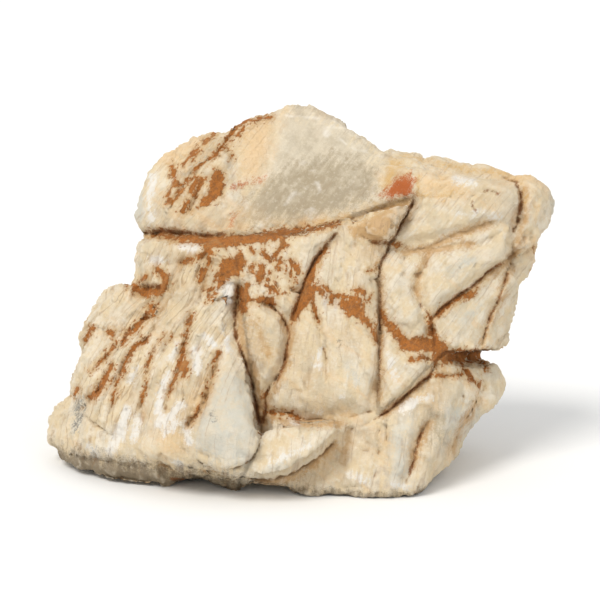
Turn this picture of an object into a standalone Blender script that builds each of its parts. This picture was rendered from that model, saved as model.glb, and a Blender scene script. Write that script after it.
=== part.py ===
"""A natural aquarium rock, 202 mm long: one pale, layered stone with a cleaved cap over a shelf,
a lobed lower face, a side notch, long cracks and a flat spot that it rests on.

The stone is drawn as it is seen from its best side. A place on that drawing is (u, v, d): u to the
right and v up from the middle of the view, and d the distance behind it, all in millimetres.
"""

import math

import bmesh
import bpy
import numpy as np
from mathutils import Matrix, Vector, noise

MM = 0.001

# The viewpoint of the drawing, and where its middle lies in the stone
VIEW_DISTANCE = 800.0
VIEW_MIDDLE = Vector((0.2, 8.2, 62.0))

# How finely the stone is shaped in mm, how much its edges are worn, its faces and its colour
SHAPING_GRAIN = 1.2
ROUNDING = 0.5
ROUNDING_STEPS = 4
FACES_KEPT = 9500
STONE_COLOUR = (0.74, 0.62, 0.44, 1)

# The flat spot is the ground at height 0, and what hangs below it is cut away. All in mm:
# the height below which the sides draw in, how far, and the size and height of the hollows in the base,
# which a pattern between -1 and 1 places: its values at a hollow's edge and where it is full height
GROUND_BLOCK = (300.0, 300.0, 40.0)
DRAWN_IN_BELOW = 8.0
DRAWN_IN_BY = 2.6
HOLLOW_SIZE = 24.0
HOLLOW_HEIGHT = 3.5
HOLLOW_EDGE, HOLLOW_FULL = 0.1, 0.3
SOLID_MIDDLE = 14.0

# Convex masses that the stone is made of, each as the corners that span it
MASSES = {
    "cap end": [
        (-63, 26, 2), (-66.6, 35, 2), (-65.4, 43, 2), (-60.6, 54, 2), (-54.6, 61, 2), (-44, 67.5, 2),
        (-31, 69.5, 4), (-50, 28.4, -20), (-54, 38, -20), (-46, 54, -18), (-30, 62, -16),
        (-24, 27, -22), (-46, 32, 30), (-52, 42, 26), (-40, 58, 28), (-26, 60, 34), (-24, 30, 38),
    ],
    "cap peak": [
        (-27, 22, -23), (0, 22, -23), (34, 33, -20), (44, 39, -20), (43, 55, -12), (29, 59, -8),
        (-31, 67, -9), (0, 80, 4), (-15, 75, 2), (-24, 73, 2), (4, 78.4, 4), (11, 74, 4), (16, 70.4, 4),
        (18.4, 67.6, 4), (-28, 60, 34), (0, 68, 32), (18, 56, 34), (-26, 24, 40), (34, 32, 36),
    ],
    "right top": [
        (30, 58, -14), (46, 52, -28), (62, 49, -30), (78, 47.5, -28), (86, 47, -24), (32, 60, 10),
        (37, 60.4, 12), (53, 58.4, 14), (60, 56, 14), (76, 53.6, 10), (83, 52.4, 6), (46, 0, -34),
        (80, 0, -28), (82, 0, 0), (46, 0, 34), (76, 10, 22), (44, 42, 34), (72, 40, 26),
    ],
    "right end": [
        (84, 52.4, -6), (91, 52.4, -4), (95.6, 50, -2), (98.4, 47, 0), (99.8, 42, 0), (98, 36, 0),
        (95.6, 26, 0), (92.4, 20, 0), (88.6, 12, 0), (85.4, 6.8, 0), (88, 48, -18), (94, 44, -14),
        (90, 20, -16), (82, 24, -24), (84, 46, 20), (92, 40, 12), (87, 18, 14),
    ],
    "right shoulder": [
        (85, 6.8, 0), (84, 2, 0), (85, -10, 0), (83.6, -15.5, 0), (81, -17.5, -2), (74, -20, -6),
        (72, -20, -28), (82, -8, -14), (79, 10, -24), (54, -20, -38), (48, 10, -36), (76, 0, 20),
        (70, -18, 18), (40, -18, 34),
    ],
    "body": [
        (-66, 24, -4), (-66.4, 18, -4), (-63, 24, -15), (-42, 22, -30), (-20, 23.6, -33), (0, 28, -34),
        (28, 34, -32), (-30, 27, -19), (0, 30.6, -20), (24, 35, -19), (20, 33, 30), (46, 32, -30),
        (48, -20, -40), (54, -24, -38), (-58, -73, -33), (0, -77.4, -45), (44, -77.4, -46),
        (50, -72, -42), (-54, 18, 28), (-58, -30, 34), (-50, -62, 34), (0, 28, 38), (0, -30, 50),
        (0, -66, 42), (42, 24, 34), (46, -40, 40), (38, -66, 36),
    ],
    "left shoulder": [
        (-70, 9, -6), (-74, 8, 0), (-78, 6.8, 2), (-81, 4, 2), (-83.2, 0, 4), (-86, -12, 4),
        (-92.5, -35, 4), (-66, 5, -18), (-60, -40, -38), (-84, -38, -22), (-72, 2, 22), (-84, -34, 26),
        (-56, 0, 32),
    ],
    "left side": [
        (-60, 4, -20), (-84, -14, 0), (-91, -36, 2), (-95, -54, 2), (-56, -60, -44), (-56, -10, -34),
        (-84, -36, -27), (-86, -56, -27), (-78, -20, 26), (-86, -46, 28), (-56, -60, 38), (-56, 0, 34),
    ],
    "foot": [
        (-92.5, -35, 4), (-96, -39, 4), (-99.2, -44, 5), (-101, -51, 5), (-101, -56, 3),
        (-99.6, -62, -2), (-92, -48, -14), (-88, -59, -22), (-60, -50, -42), (-58, -60, -43),
        (-90, -66.4, -14), (-78, -69.4, -26), (-56, -71.6, -34), (-92, -48, 20), (-84, -54, 24),
        (-50, -60, 34),
    ],
    "lower right": [
        (74, -25, -8), (78.6, -26.4, -4), (80.8, -32, -4), (80.2, -37, -4), (74, -41.6, -6),
        (70, -46, -10), (48, -25, -38), (64, -27, -28), (58, -50, -42), (46, -66, -44), (66, -30, 24),
        (56, -46, 32), (46, -14, -30), (60, -14, -24), (72, -15, -6), (75, -21, -2), (70, -14, 14),
        (48, -14, 34),
    ],
    "lower toe": [
        (72, -43, -8), (68, -50, -12), (63, -57, -16), (59.6, -65, -22), (55, -71, -31), (51, -75, -38),
        (45, -77.4, -45), (28, -77.4, -46), (48, -64, -44), (58, -44, -42), (40, -30, -36),
        (54, -44, 30), (50, -60, 32), (42, -68, 34),
    ],
    "lobe": [
        (-32, 0, -32), (-26, 6, -31), (-24.5, -15, -40), (-20, -32, -50), (-17, -48, -56),
        (-16, -54, -57), (-20, -63, -55), (-26, -65.5, -53), (-38, -65, -51), (-44, -60, -52),
        (-36, -50, -58), (-26, -50, -59), (-44, 14, -30), (-55, -2, -28), (-62, -28, -37),
        (-66, -58, -43), (-30, -70, -44), (-46, -69, -42), (-17, -68, -46), (-30, -40, 0),
    ],
    "plate": [
        (-15, -50, -50), (-8, -46, -48), (0, -48, -50), (17, -47.5, -50), (14, -53, -54), (2, -62, -57),
        (-10, -67.5, -57), (-15, -68.5, -56), (-20, -66, -55), (0, -55, -20), (-12, -60, -20),
    ],
    "shelf slab": [
        (18, 31, -33), (30, 33, -36), (38, 38.8, -36), (45.5, 40, -35), (42, 35, -38), (39, 28, -40),
        (35, 24, -40), (28, 24, -38), (22, 27, -35), (32, 32, -10),
    ],
}

# Wedges of open space that run into the stone, spanned in the same way
CLEFTS = {
    "under the cap": [
        (-80, 30.6, -50), (-80, 27, -50), (-27, 29.6, -50), (-27, 26.6, -50), (-68, 29.6, 20), (-68, 27, 20),
        (-54, 28.8, 8), (-54, 27.4, 8), (-30, 28, -12),
    ],
    "side notch": [
        (42, -21.2, -43), (42, -21.2, -60), (42, -22.6, -60), (74, -18.4, -10), (74, -21.8, -10),
        (76, -18.6, 50), (76, -20.6, 50), (110, -16, 50), (110, -23, 50), (110, -15, -60), (110, -25, -60),
    ],
    "left pocket": [
        (-67, 5.2, -50), (-54, 7.4, -50), (-54, 3, -50), (-66, 0, -50), (-60, 5, -10),
    ],
    "under the lobe": [
        (-66, -71, -70), (-40, -69, -70), (-14, -73, -70), (-14, -90, -70), (-66, -90, -70), (-46, -68, -12),
        (-60, -90, -12), (-20, -90, -12),
    ],
}

# Each side's drawing is on a grid of squares, counted from its top left corner
SQUARE = 0.394
GRID_MIDDLE = (301, 304)

# The azimuth and elevation that each drawing is seen from, in degrees
SIDES = {"front": (0, 12), "back": (180, 14), "left": (-90, 8), "right": (90, 8), "top": (0, 82)}

# How squarely a surface must face a drawing before its lines are cut there, and to be cut in full
FACING_SIDE = 0.2
FACING_TOP = 0.65
FACING_SPAN = 0.3

# How far inside its outline a flat area reaches its height, and how far a crack's edges are worn, in mm
FACET_SLOPE = 3.0
CRACK_WEAR = 1.0

# Flat areas that stand out or lie back: rise in mm, rise for each 10 mm to the right and up, outline
FACETS = {
    "front": [
        (1.2, -0.4, 0.2, [(243, 306), (256, 300), (270, 304), (283, 318), (288, 333), (286, 350),
                          (278, 371), (268, 388), (263, 418), (254, 402), (248, 378), (240, 355),
                          (238, 330)]),
        (1.4, -0.1, -0.2, [(416, 176), (450, 172), (505, 182), (519, 192), (517, 216), (470, 226),
                           (430, 238), (402, 240), (404, 222), (415, 205)]),
        (-0.6, 0.3, 0.3, [(402, 246), (450, 236), (512, 222), (512, 236), (430, 256), (396, 258)]),
        (1.0, 0.5, -0.4, [(432, 262), (480, 248), (512, 240), (508, 258), (470, 284), (436, 306),
                          (424, 290)]),
        (-1.4, -0.4, -0.4, [(433, 320), (458, 299), (502, 268), (496, 306), (484, 346), (444, 346),
                            (436, 338)]),
        (0.8, 0.0, 0.4, [(384, 262), (418, 258), (416, 300), (426, 330), (405, 334), (386, 314)]),
        (1.2, 0.4, -0.3, [(384, 326), (398, 350), (430, 352), (430, 370), (400, 396), (382, 410),
                          (380, 360)]),
        (0.9, 0.2, 0.0, [(302, 288), (336, 250), (376, 262), (378, 330), (376, 396), (330, 410),
                         (296, 404), (290, 340)]),
        (1.3, -0.3, 0.5, [(436, 380), (470, 378), (482, 408), (452, 408), (430, 418), (410, 430),
                          (390, 414)]),
        (-1.2, 0.6, -0.5, [(432, 408), (452, 410), (450, 440), (428, 432)]),
        (0.8, 0.3, 0.2, [(384, 420), (428, 424), (416, 450), (406, 488), (372, 490), (380, 440)]),
        (1.0, -0.5, 0.3, [(420, 440), (460, 446), (432, 488), (408, 490)]),
        (-1.0, 0.0, 0.5, [(350, 424), (378, 430), (374, 470), (344, 470), (320, 462)]),
        (0.9, 0.6, 0.0, [(196, 330), (234, 340), (246, 376), (204, 400), (190, 370)]),
    ],
    "back": [
        (2.2, 0.5, -0.4, [(80, 190), (150, 170), (235, 186), (250, 236), (150, 262), (88, 246)]),
        (2.8, -0.4, 0.3, [(262, 150), (330, 132), (400, 160), (420, 218), (340, 250), (270, 236)]),
        (-2.0, 0.4, -0.3, [(120, 276), (220, 258), (246, 330), (190, 380), (120, 350)]),
        (2.6, -0.6, -0.4, [(260, 268), (360, 262), (392, 330), (330, 400), (262, 372)]),
        (2.0, 0.6, -0.6, [(410, 270), (470, 290), (520, 380), (450, 420), (400, 360)]),
        (-1.8, 0.3, 0.6, [(200, 400), (300, 396), (330, 450), (220, 468), (170, 440)]),
        (1.8, -0.4, 0.5, [(380, 420), (480, 436), (500, 466), (380, 476)]),
    ],
    "left": [
        (2.0, 0.4, -0.5, [(210, 330), (270, 310), (300, 380), (250, 430), (200, 400)]),
        (1.8, -0.5, -0.3, [(310, 300), (380, 320), (400, 400), (330, 420)]),
    ],
    "right": [
        (2.0, 0.5, -0.4, [(240, 190), (320, 186), (340, 250), (270, 270)]),
        (2.4, -0.5, 0.4, [(230, 290), (300, 280), (330, 340), (260, 350)]),
        (1.8, 0.4, 0.5, [(250, 380), (340, 372), (350, 430), (270, 450)]),
    ],
    "top": [
        (1.4, 0.3, 0.3, [(180, 250), (260, 240), (290, 310), (200, 330)]),
        (-1.4, -0.3, 0.4, [(420, 240), (500, 250), (510, 300), (430, 310)]),
    ],
}

# Cracks and folds: width and depth in mm, and the squares that they pass through
CRACKS = {
    "front": [
        (3.9, 3.6, [(337, 238), (320, 250), (310, 267), (302, 285), (296, 305), (291, 320)]),
        (3.6, 3.4, [(390, 243), (385, 258), (379, 270), (381, 315), (378, 360), (376, 405),
                    (372, 416)]),
        (5.1, 6.5, [(236, 288), (235, 320), (239, 350), (248, 376), (256, 415), (261, 432)]),
        (3.3, 3.6, [(268, 303), (282, 316), (289, 336), (282, 364), (269, 386), (266, 415),
                    (262, 428)]),
        (3.9, 3.6, [(262, 426), (269, 415), (290, 415), (318, 418), (350, 412), (378, 410)]),
        (3.6, 3.4, [(437, 366), (425, 380), (400, 400), (373, 419), (350, 424)]),
        (3.4, 2.4, [(430, 420), (416, 445), (408, 475), (402, 492)]),
        (3.7, 3.6, [(503, 176), (519, 184), (522, 197), (517, 218), (513, 240), (505, 280), (490, 325),
                    (483, 350)]),
        (4.4, 3.0, [(396, 245), (430, 240), (470, 230), (512, 219)]),
        (3.9, 3.2, [(505, 262), (470, 285), (445, 305), (431, 318)]),
        (3.9, 3.6, [(420, 296), (430, 318), (434, 345), (433, 366)]),
        (3.6, 3.2, [(416, 198), (406, 217), (394, 238), (386, 243), (362, 235)]),
        (3.9, 2.8, [(384, 316), (400, 340), (430, 342)]),
        (3.3, 2.8, [(350, 219), (373, 217), (392, 205), (412, 203)]),
        (3.9, 1.6, [(430, 248), (425, 268), (415, 290), (420, 312)]),
        (2.8, 2.6, [(462, 366), (468, 376), (481, 387)]),
        (3.3, 1.8, [(486, 366), (488, 390), (480, 414), (462, 442)]),
        (3.6, 1.8, [(450, 380), (460, 400), (456, 424), (450, 440)]),
        (3.6, 1.2, [(320, 335), (329, 368), (325, 400)]),
        (3.1, 1.6, [(292, 255), (291, 270), (290, 310)]),
        (3.3, 1.5, [(350, 426), (346, 456), (340, 486)]),
        (3.1, 1.5, [(378, 425), (377, 460), (368, 487)]),
        (4.7, 2.2, [(156, 300), (148, 312), (122, 343), (96, 366)]),
        (4.7, 2.2, [(160, 325), (146, 339), (124, 361), (100, 388), (88, 404)]),
        (4.2, 1.8, [(160, 345), (151, 365), (146, 392), (138, 424)]),
        (4.4, 2.0, [(176, 330), (160, 356), (150, 400), (148, 430)]),
        (4.4, 2.2, [(192, 312), (184, 345), (172, 384), (164, 410)]),
        (4.2, 2.0, [(218, 350), (208, 385), (188, 424)]),
        (3.9, 1.6, [(120, 366), (108, 396), (104, 430)]),
        (3.6, 1.5, [(208, 262), (199, 290), (194, 312)]),
        (3.9, 1.8, [(178, 262), (168, 290), (156, 312)]),
        (3.9, 1.6, [(232, 262), (222, 284), (206, 300)]),
        (3.9, 2.2, [(242, 122), (226, 146), (210, 158), (200, 176)]),
        (3.6, 1.6, [(203, 160), (186, 176), (176, 196), (170, 214)]),
        (3.6, 1.5, [(206, 176), (198, 196), (188, 214)]),
        (6.0, 1.2, [(50, 450), (90, 458), (140, 466), (190, 473), (236, 475)]),
    ],
    "back": [
        (5.0, 3.6, [(250, 150), (252, 200), (240, 250), (250, 300), (238, 360), (246, 430)]),
        (4.6, 3.2, [(80, 262), (150, 268), (240, 252), (330, 258), (420, 240), (470, 262)]),
        (4.6, 2.8, [(388, 262), (398, 330), (380, 400), (390, 470)]),
        (4.6, 2.6, [(120, 270), (112, 330), (150, 392), (210, 396), (246, 380)]),
        (5.0, 2.0, [(330, 262), (310, 320), (320, 372), (300, 440)]),
        (5.0, 2.0, [(430, 270), (446, 330), (430, 390), (444, 450)]),
        (4.6, 2.0, [(300, 140), (290, 190), (300, 236)]),
        (4.6, 2.0, [(170, 180), (178, 220), (166, 262)]),
        (4.6, 2.4, [(380, 404), (440, 410), (510, 420)]),
    ],
    "left": [
        (5.0, 3.0, [(210, 300), (250, 340), (262, 400), (250, 450)]),
        (4.6, 2.6, [(300, 250), (310, 320), (300, 390), (316, 450)]),
        (4.6, 2.4, [(370, 290), (360, 350), (390, 420)]),
        (5.0, 2.6, [(190, 430), (260, 440), (340, 436), (420, 446)]),
    ],
    "right": [
        (5.0, 3.2, [(210, 270), (270, 276), (340, 262), (400, 272)]),
        (4.6, 2.8, [(320, 190), (316, 240), (330, 300), (318, 340)]),
        (4.6, 2.6, [(250, 370), (300, 364), (360, 372), (420, 366)]),
        (4.6, 2.4, [(290, 380), (300, 430), (290, 470)]),
    ],
    "top": [
        (4.6, 2.6, [(130, 300), (200, 286), (280, 300), (350, 280), (430, 290), (530, 280)]),
        (4.6, 2.0, [(300, 220), (320, 260), (300, 330), (310, 380)]),
        (4.6, 2.0, [(440, 210), (430, 260), (450, 330)]),
    ],
}

# The stone's uneven surface: size of the lumps and how far they stand out, both in mm
LUMPS = [(34.0, 1.4), (13.0, 0.8), (6.0, 0.35)]
BACK_ROUGHNESS = 1.0


def view_axes(azimuth, elevation):
    """The right, up and away directions of a drawing, its angles in degrees."""
    a, e = math.radians(azimuth), math.radians(elevation)
    right = Vector((math.cos(a), math.sin(a), 0))
    away = Vector((-math.sin(a) * math.cos(e), math.cos(a) * math.cos(e), -math.sin(e)))
    return right, right.cross(away), away


def placed(u, v, d):
    """The point that the front drawing shows at (u, v), a distance d behind its middle, in metres."""
    right, up, away = view_axes(*SIDES["front"])
    spread = 1 + d / VIEW_DISTANCE
    return (VIEW_MIDDLE + right * (u * spread) + up * (v * spread) + away * d) * MM


def drawn(points, side):
    """Where points, in mm, lie on a side's drawing: u and v, in mm from its middle."""
    right, up, away = (np.array(axis) for axis in view_axes(*SIDES[side]))
    offset = points - np.array(VIEW_MIDDLE)
    spread = 1 + offset @ away / VIEW_DISTANCE
    return np.stack([offset @ right / spread, offset @ up / spread], axis=1)


def on_grid(squares):
    """Squares of a drawing's grid as (u, v), in mm from its middle."""
    grid = np.array(squares, dtype=float) - GRID_MIDDLE
    return grid * (SQUARE, -SQUARE)


def smooth_step(low, high, value):
    t = np.clip((value - low) / (high - low), 0, 1)
    return t * t * (3 - 2 * t)


def gap_to_segment(points, start, end):
    """Distance from points to one stretch of a line."""
    along = end - start
    t = np.clip((points - start) @ along / (along @ along), 0, 1)
    return np.linalg.norm(points - start - t[:, None] * along, axis=1)


def gap_to_line(points, line, closed=False):
    """Distance from points to a line through some corners."""
    ends = np.roll(line, -1, axis=0) if closed else line[1:]
    return np.min([gap_to_segment(points, start, end) for start, end in zip(line, ends)], axis=0)


def inside(points, outline):
    """Which points lie inside a closed outline."""
    crossings = np.zeros(len(points), dtype=int)
    for (x0, y0), (x1, y1) in zip(outline, np.roll(outline, -1, axis=0)):
        spans = (y0 > points[:, 1]) != (y1 > points[:, 1])
        if y1 != y0:
            at = x0 + (points[:, 1] - y0) * (x1 - x0) / (y1 - y0)
            crossings += spans & (points[:, 0] < at)
    return crossings % 2 == 1


def facing(normals, side):
    """How squarely a surface faces a side's drawing, from 0 to 1."""
    away = np.array(view_axes(*SIDES[side])[2])
    least = FACING_TOP if side == "top" else FACING_SIDE
    return smooth_step(least, least + FACING_SPAN, -(normals @ away))


def facet_rise(points, normals, side):
    """How far each point is carried out of the stone by the flat areas of a side."""
    rise = np.zeros(len(points))
    shown, share = drawn(points, side), facing(normals, side)
    for height, to_right, to_top, squares in FACETS[side]:
        outline = on_grid(squares)
        edge = gap_to_line(shown, outline, closed=True) * inside(shown, outline)
        lean = (shown - outline.mean(axis=0)) @ np.array((to_right, to_top)) / 10
        rise += share * smooth_step(0, FACET_SLOPE, edge) * (height + lean)
    return rise


def crack_depth(points, normals, side):
    """How deep a side's cracks and folds run below each point."""
    depth = np.zeros(len(points))
    shown, share = drawn(points, side), facing(normals, side)
    for width, deep, squares in CRACKS[side]:
        gap = gap_to_line(shown, on_grid(squares))
        groove = deep * share * (1 - smooth_step(0, width / 2 + CRACK_WEAR, gap))
        depth = np.maximum(depth, groove)
    return depth


def carve(points, normals):
    """Raises the flat areas, cuts the cracks and makes the surface uneven."""
    depth = np.zeros(len(points))
    carved = points.copy()
    for side, angles in SIDES.items():
        toward_viewer = -np.array(view_axes(*angles)[2])
        carved += facet_rise(points, normals, side)[:, None] * toward_viewer
        depth = np.maximum(depth, crack_depth(points, normals, side))
    return carved + (lump_height(carved, normals) - depth)[:, None] * normals


def lump_height(points, normals):
    """How far the uneven surface stands out at each point, more so on the rough back."""
    height = np.zeros(len(points))
    for size, rise in LUMPS:
        height += [rise * noise.noise(Vector(point) / size) for point in points]
    return height * (1 + BACK_ROUGHNESS * facing(normals, "back"))


def settle(points):
    """Draws the sides in towards the flat spot, and hollows the base in places round its middle."""
    flat = points * (1, 1, 0)
    reach = np.linalg.norm(flat, axis=1)
    low = 1 - smooth_step(0, DRAWN_IN_BELOW, points[:, 2])
    points -= (DRAWN_IN_BY * low / np.maximum(reach, SOLID_MIDDLE))[:, None] * flat
    pattern = np.array([noise.noise(Vector(point) / HOLLOW_SIZE) for point in flat])
    hollow = smooth_step(HOLLOW_EDGE, HOLLOW_FULL, pattern)
    hollow *= smooth_step(SOLID_MIDDLE, 2 * SOLID_MIDDLE, reach)
    under = points[:, 2] < HOLLOW_HEIGHT
    points[under, 2] += (hollow * (HOLLOW_HEIGHT - points[:, 2]))[under]


def mesh_arrays(mesh):
    """A mesh's points in mm, and its normals."""
    points = np.empty(len(mesh.vertices) * 3)
    normals = np.empty(len(mesh.vertices) * 3)
    mesh.vertices.foreach_get("co", points)
    mesh.vertices.foreach_get("normal", normals)
    return points.reshape(-1, 3) / MM, normals.reshape(-1, 3)


def move_points(mesh, points):
    mesh.vertices.foreach_set("co", (points * MM).ravel())
    mesh.update()


def add_hull(bm, corners):
    """Adds the convex solid that some corners span."""
    added = [bm.verts.new(placed(*corner)) for corner in corners]
    hull = bmesh.ops.convex_hull(bm, input=added)
    spare = set(hull["geom_interior"] + hull["geom_unused"])
    loose = [item for item in spare if isinstance(item, bmesh.types.BMVert)]
    bmesh.ops.delete(bm, geom=loose, context="VERTS")


def hull_object(name, solids, collection):
    """One object of several convex solids."""
    bm = bmesh.new()
    for corners in solids.values():
        add_hull(bm, corners)
    bmesh.ops.recalc_face_normals(bm, faces=bm.faces)
    mesh = bpy.data.meshes.new(name)
    bm.to_mesh(mesh)
    bm.free()
    item = bpy.data.objects.new(name, mesh)
    collection.objects.link(item)
    return item


def as_helper(item):
    item.hide_render = True
    item.display_type = "WIRE"


def add_remesh(item, grain):
    remesh = item.modifiers.new("shape as one", "REMESH")
    remesh.mode = "VOXEL"
    remesh.voxel_size = grain * MM
    remesh.use_smooth_shade = True


def add_cut(item, cutter):
    cut = item.modifiers.new("cut " + cutter.name, "BOOLEAN")
    cut.operation = "DIFFERENCE"
    cut.solver = "EXACT"
    cut.object = cutter


def finished_mesh(item):
    """A copy of an object's mesh with its modifiers applied."""
    bpy.context.view_layer.update()
    return bpy.data.meshes.new_from_object(item.evaluated_get(bpy.context.evaluated_depsgraph_get()))


def stone_material():
    material = bpy.data.materials.new("pale stone")
    material.use_nodes = True
    shader = material.node_tree.nodes["Principled BSDF"]
    shader.inputs["Base Color"].default_value = STONE_COLOUR
    shader.inputs["Roughness"].default_value = 0.8
    shader.inputs["Metallic"].default_value = 0.0
    return material


def ground_block(collection):
    """The space below the flat spot that the stone rests on."""
    bpy.ops.mesh.primitive_cube_add(size=1)
    block = bpy.context.object
    block.name = "ground"
    width, depth, height = GROUND_BLOCK
    block.data.transform(Matrix.Diagonal((width * MM, depth * MM, height * MM, 1)))
    block.data.transform(Matrix.Translation((0, 0, -height * MM / 2)))
    for other in block.users_collection:
        other.objects.unlink(block)
    collection.objects.link(block)
    as_helper(block)
    return block


def make_rock(stone_parts, helpers):
    masses = hull_object("masses", MASSES, helpers)
    clefts = hull_object("clefts", CLEFTS, helpers)
    as_helper(masses)
    as_helper(clefts)

    add_remesh(masses, SHAPING_GRAIN)
    add_cut(masses, clefts)
    add_remesh(masses, SHAPING_GRAIN)
    worn = masses.modifiers.new("worn edges", "SMOOTH")
    worn.factor = ROUNDING
    worn.iterations = ROUNDING_STEPS

    mesh = finished_mesh(masses)
    mesh.name = "rock"
    points, normals = mesh_arrays(mesh)
    points = carve(points, normals)
    settle(points)
    move_points(mesh, points)

    rock = bpy.data.objects.new("rock", mesh)
    stone_parts.objects.link(rock)
    add_remesh(rock, SHAPING_GRAIN)
    shaped_faces = 2 * len(finished_mesh(rock).polygons)
    thin = rock.modifiers.new("fewer faces", "DECIMATE")
    thin.ratio = FACES_KEPT / shaped_faces
    add_cut(rock, ground_block(helpers))
    mesh.materials.clear()
    mesh.materials.append(stone_material())


def main():
    for item in list(bpy.data.objects):
        bpy.data.objects.remove(item, do_unlink=True)
    collections = []
    for name in ("aquarium rock", "helpers"):
        collection = bpy.data.collections.new(name)
        bpy.context.scene.collection.children.link(collection)
        collections.append(collection)
    make_rock(*collections)


main()
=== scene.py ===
import math
from functools import partial

import bmesh
import bpy
import numpy as np
from mathutils import Matrix, Vector, noise


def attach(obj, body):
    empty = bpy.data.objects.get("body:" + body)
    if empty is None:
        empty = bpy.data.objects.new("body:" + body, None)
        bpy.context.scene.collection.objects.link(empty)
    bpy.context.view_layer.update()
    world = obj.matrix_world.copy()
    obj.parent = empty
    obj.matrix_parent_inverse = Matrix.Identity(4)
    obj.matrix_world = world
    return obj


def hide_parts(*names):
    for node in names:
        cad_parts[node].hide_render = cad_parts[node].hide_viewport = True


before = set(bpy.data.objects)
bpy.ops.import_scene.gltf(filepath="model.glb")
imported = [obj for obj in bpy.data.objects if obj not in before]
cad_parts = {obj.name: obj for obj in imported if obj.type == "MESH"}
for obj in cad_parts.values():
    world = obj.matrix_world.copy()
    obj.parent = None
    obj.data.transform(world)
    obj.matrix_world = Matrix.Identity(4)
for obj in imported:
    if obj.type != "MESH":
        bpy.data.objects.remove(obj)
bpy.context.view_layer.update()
mm = 0.001
print("stage: frame loaded")

# the stone is drawn on a grid of squares, as seen from each side: angles are azimuth and elevation
drawing = {
    "square": 0.394,                   # mm
    "gridMiddle": (301, 304),          # squares from the top left corner
    "distance": 800.0,                 # mm from the eye to the middle of the view
    "viewMiddle": (0.2, 8.2, 62.0),    # mm, where that middle lies in the stone
    "sides": {"front": (0, 12), "back": (180, 14), "left": (-90, 8), "right": (90, 8), "top": (0, 82)},
    "topBegins": (0.05, 0.3),          # slopes between which the front's drawing gives way to the top's
}


def viewAxes(azimuth, elevation):
    a, e = math.radians(azimuth), math.radians(elevation)
    right = Vector((math.cos(a), math.sin(a), 0))
    away = Vector((-math.sin(a) * math.cos(e), math.cos(a) * math.cos(e), -math.sin(e)))
    return right, right.cross(away), away


def sideAxes(side):    # the ways to the right, up and away from the eye
    return [np.array(axis) for axis in viewAxes(*drawing["sides"][side])]


def squaresOf(points, side):    # where points in mm lie on a side's drawing
    right, up, away = sideAxes(side)
    offset = points - np.array(drawing["viewMiddle"])
    spread = (1 + offset @ away / drawing["distance"]) * drawing["square"]
    x, y = drawing["gridMiddle"]
    return np.stack([x + offset @ right / spread, y - offset @ up / spread], axis=1)


def smoothStep(low, high, value):
    t = np.clip((value - low) / (high - low), 0, 1)
    return t * t * (3 - 2 * t)


def asCorners(numbers):    # pairs of squares from a flat list of them
    return np.array(numbers, dtype=float).reshape(-1, 2)


def rounded(numbers, steps=3):    # a curve through the corners
    line = asCorners(numbers)
    if len(line) < 3:
        return line
    ends = np.vstack([2 * line[0] - line[1], line, 2 * line[-1] - line[-2]])
    curve = []
    for a, b, c, d in zip(ends, ends[1:], ends[2:], ends[3:]):
        for t in np.arange(steps) / steps:
            curve.append(0.5 * (2 * b + (c - a) * t + (2 * a - 5 * b + 4 * c - d) * t ** 2
                                + (3 * b - a - 3 * c + d) * t ** 3))
    return np.array(curve + [line[-1]])


def gapToLine(spots, line):    # distance to a line, and 1 or -1 for the side of it
    gap, hand = np.full(len(spots), 1e9), np.ones(len(spots))
    for start, end in zip(line, line[1:]):
        along = end - start
        t = np.clip((spots - start) @ along / max(along @ along, 1e-9), 0, 1)
        off = spots - start - t[:, None] * along
        far = np.hypot(off[:, 0], off[:, 1])
        nearer = far < gap
        gap[nearer] = far[nearer]
        hand[nearer] = np.sign(along[1] * off[:, 0] - along[0] * off[:, 1])[nearer]
    return gap, hand


def insideOf(spots, outline):
    crossings = np.zeros(len(spots), dtype=int)
    for (x0, y0), (x1, y1) in zip(outline, np.roll(outline, -1, axis=0)):
        if y1 != y0:
            spans = (y0 > spots[:, 1]) != (y1 > spots[:, 1])
            crossings += spans & (spots[:, 0] < x0 + (spots[:, 1] - y0) * (x1 - x0) / (y1 - y0))
    return crossings % 2 == 1


def nearBox(spots, line, reach):    # the few spots that a line can touch
    low, high = line.min(axis=0) - reach, line.max(axis=0) + reach
    return np.flatnonzero(((spots > low) & (spots < high)).all(axis=1))


def gapInside(spots, numbers, reach):    # the spots near an outline, and how far inside it each lies
    outline = asCorners(numbers)
    near = nearBox(spots, outline, reach)
    gap, _ = gapToLine(spots[near], np.vstack([outline, outline[:1]]))
    return near, np.where(insideOf(spots[near], outline), gap, -gap)


def areaShare(spots, numbers, soft):    # 1 well inside an outline and 0 outside it
    share = np.zeros(len(spots))
    near, gap = gapInside(spots, numbers, 0)
    share[near] = smoothStep(0, soft, gap)
    return share


def meshArrays(mesh):
    points = np.empty(len(mesh.vertices) * 3)
    normals = np.empty(len(mesh.vertices) * 3)
    mesh.vertices.foreach_get("co", points)
    mesh.vertices.foreach_get("normal", normals)
    return points.reshape(-1, 3) / mm, normals.reshape(-1, 3)


def movePoints(mesh, points):
    mesh.vertices.foreach_set("co", (points * mm).ravel())
    mesh.update()


def keepField(mesh, name, values, kind="FLOAT"):
    field = mesh.attributes.new(name, kind, "POINT")
    key = "vector" if kind == "FLOAT_VECTOR" else "value"
    field.data.foreach_set(key, np.ascontiguousarray(values, dtype=np.float32).ravel())


def slopeTo(normals, side):    # 1 where the surface looks straight at a side's eye
    return -(normals @ sideAxes(side)[2])


def facing(normals, side, least=0.12, span=0.3):    # how much of a side's drawing the surface takes
    share = smoothStep(least, least + span, slopeTo(normals, side))
    if side == "top":
        share *= 1 - smoothStep(*drawing["topBegins"], slopeTo(normals, "front"))
    return share


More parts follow.
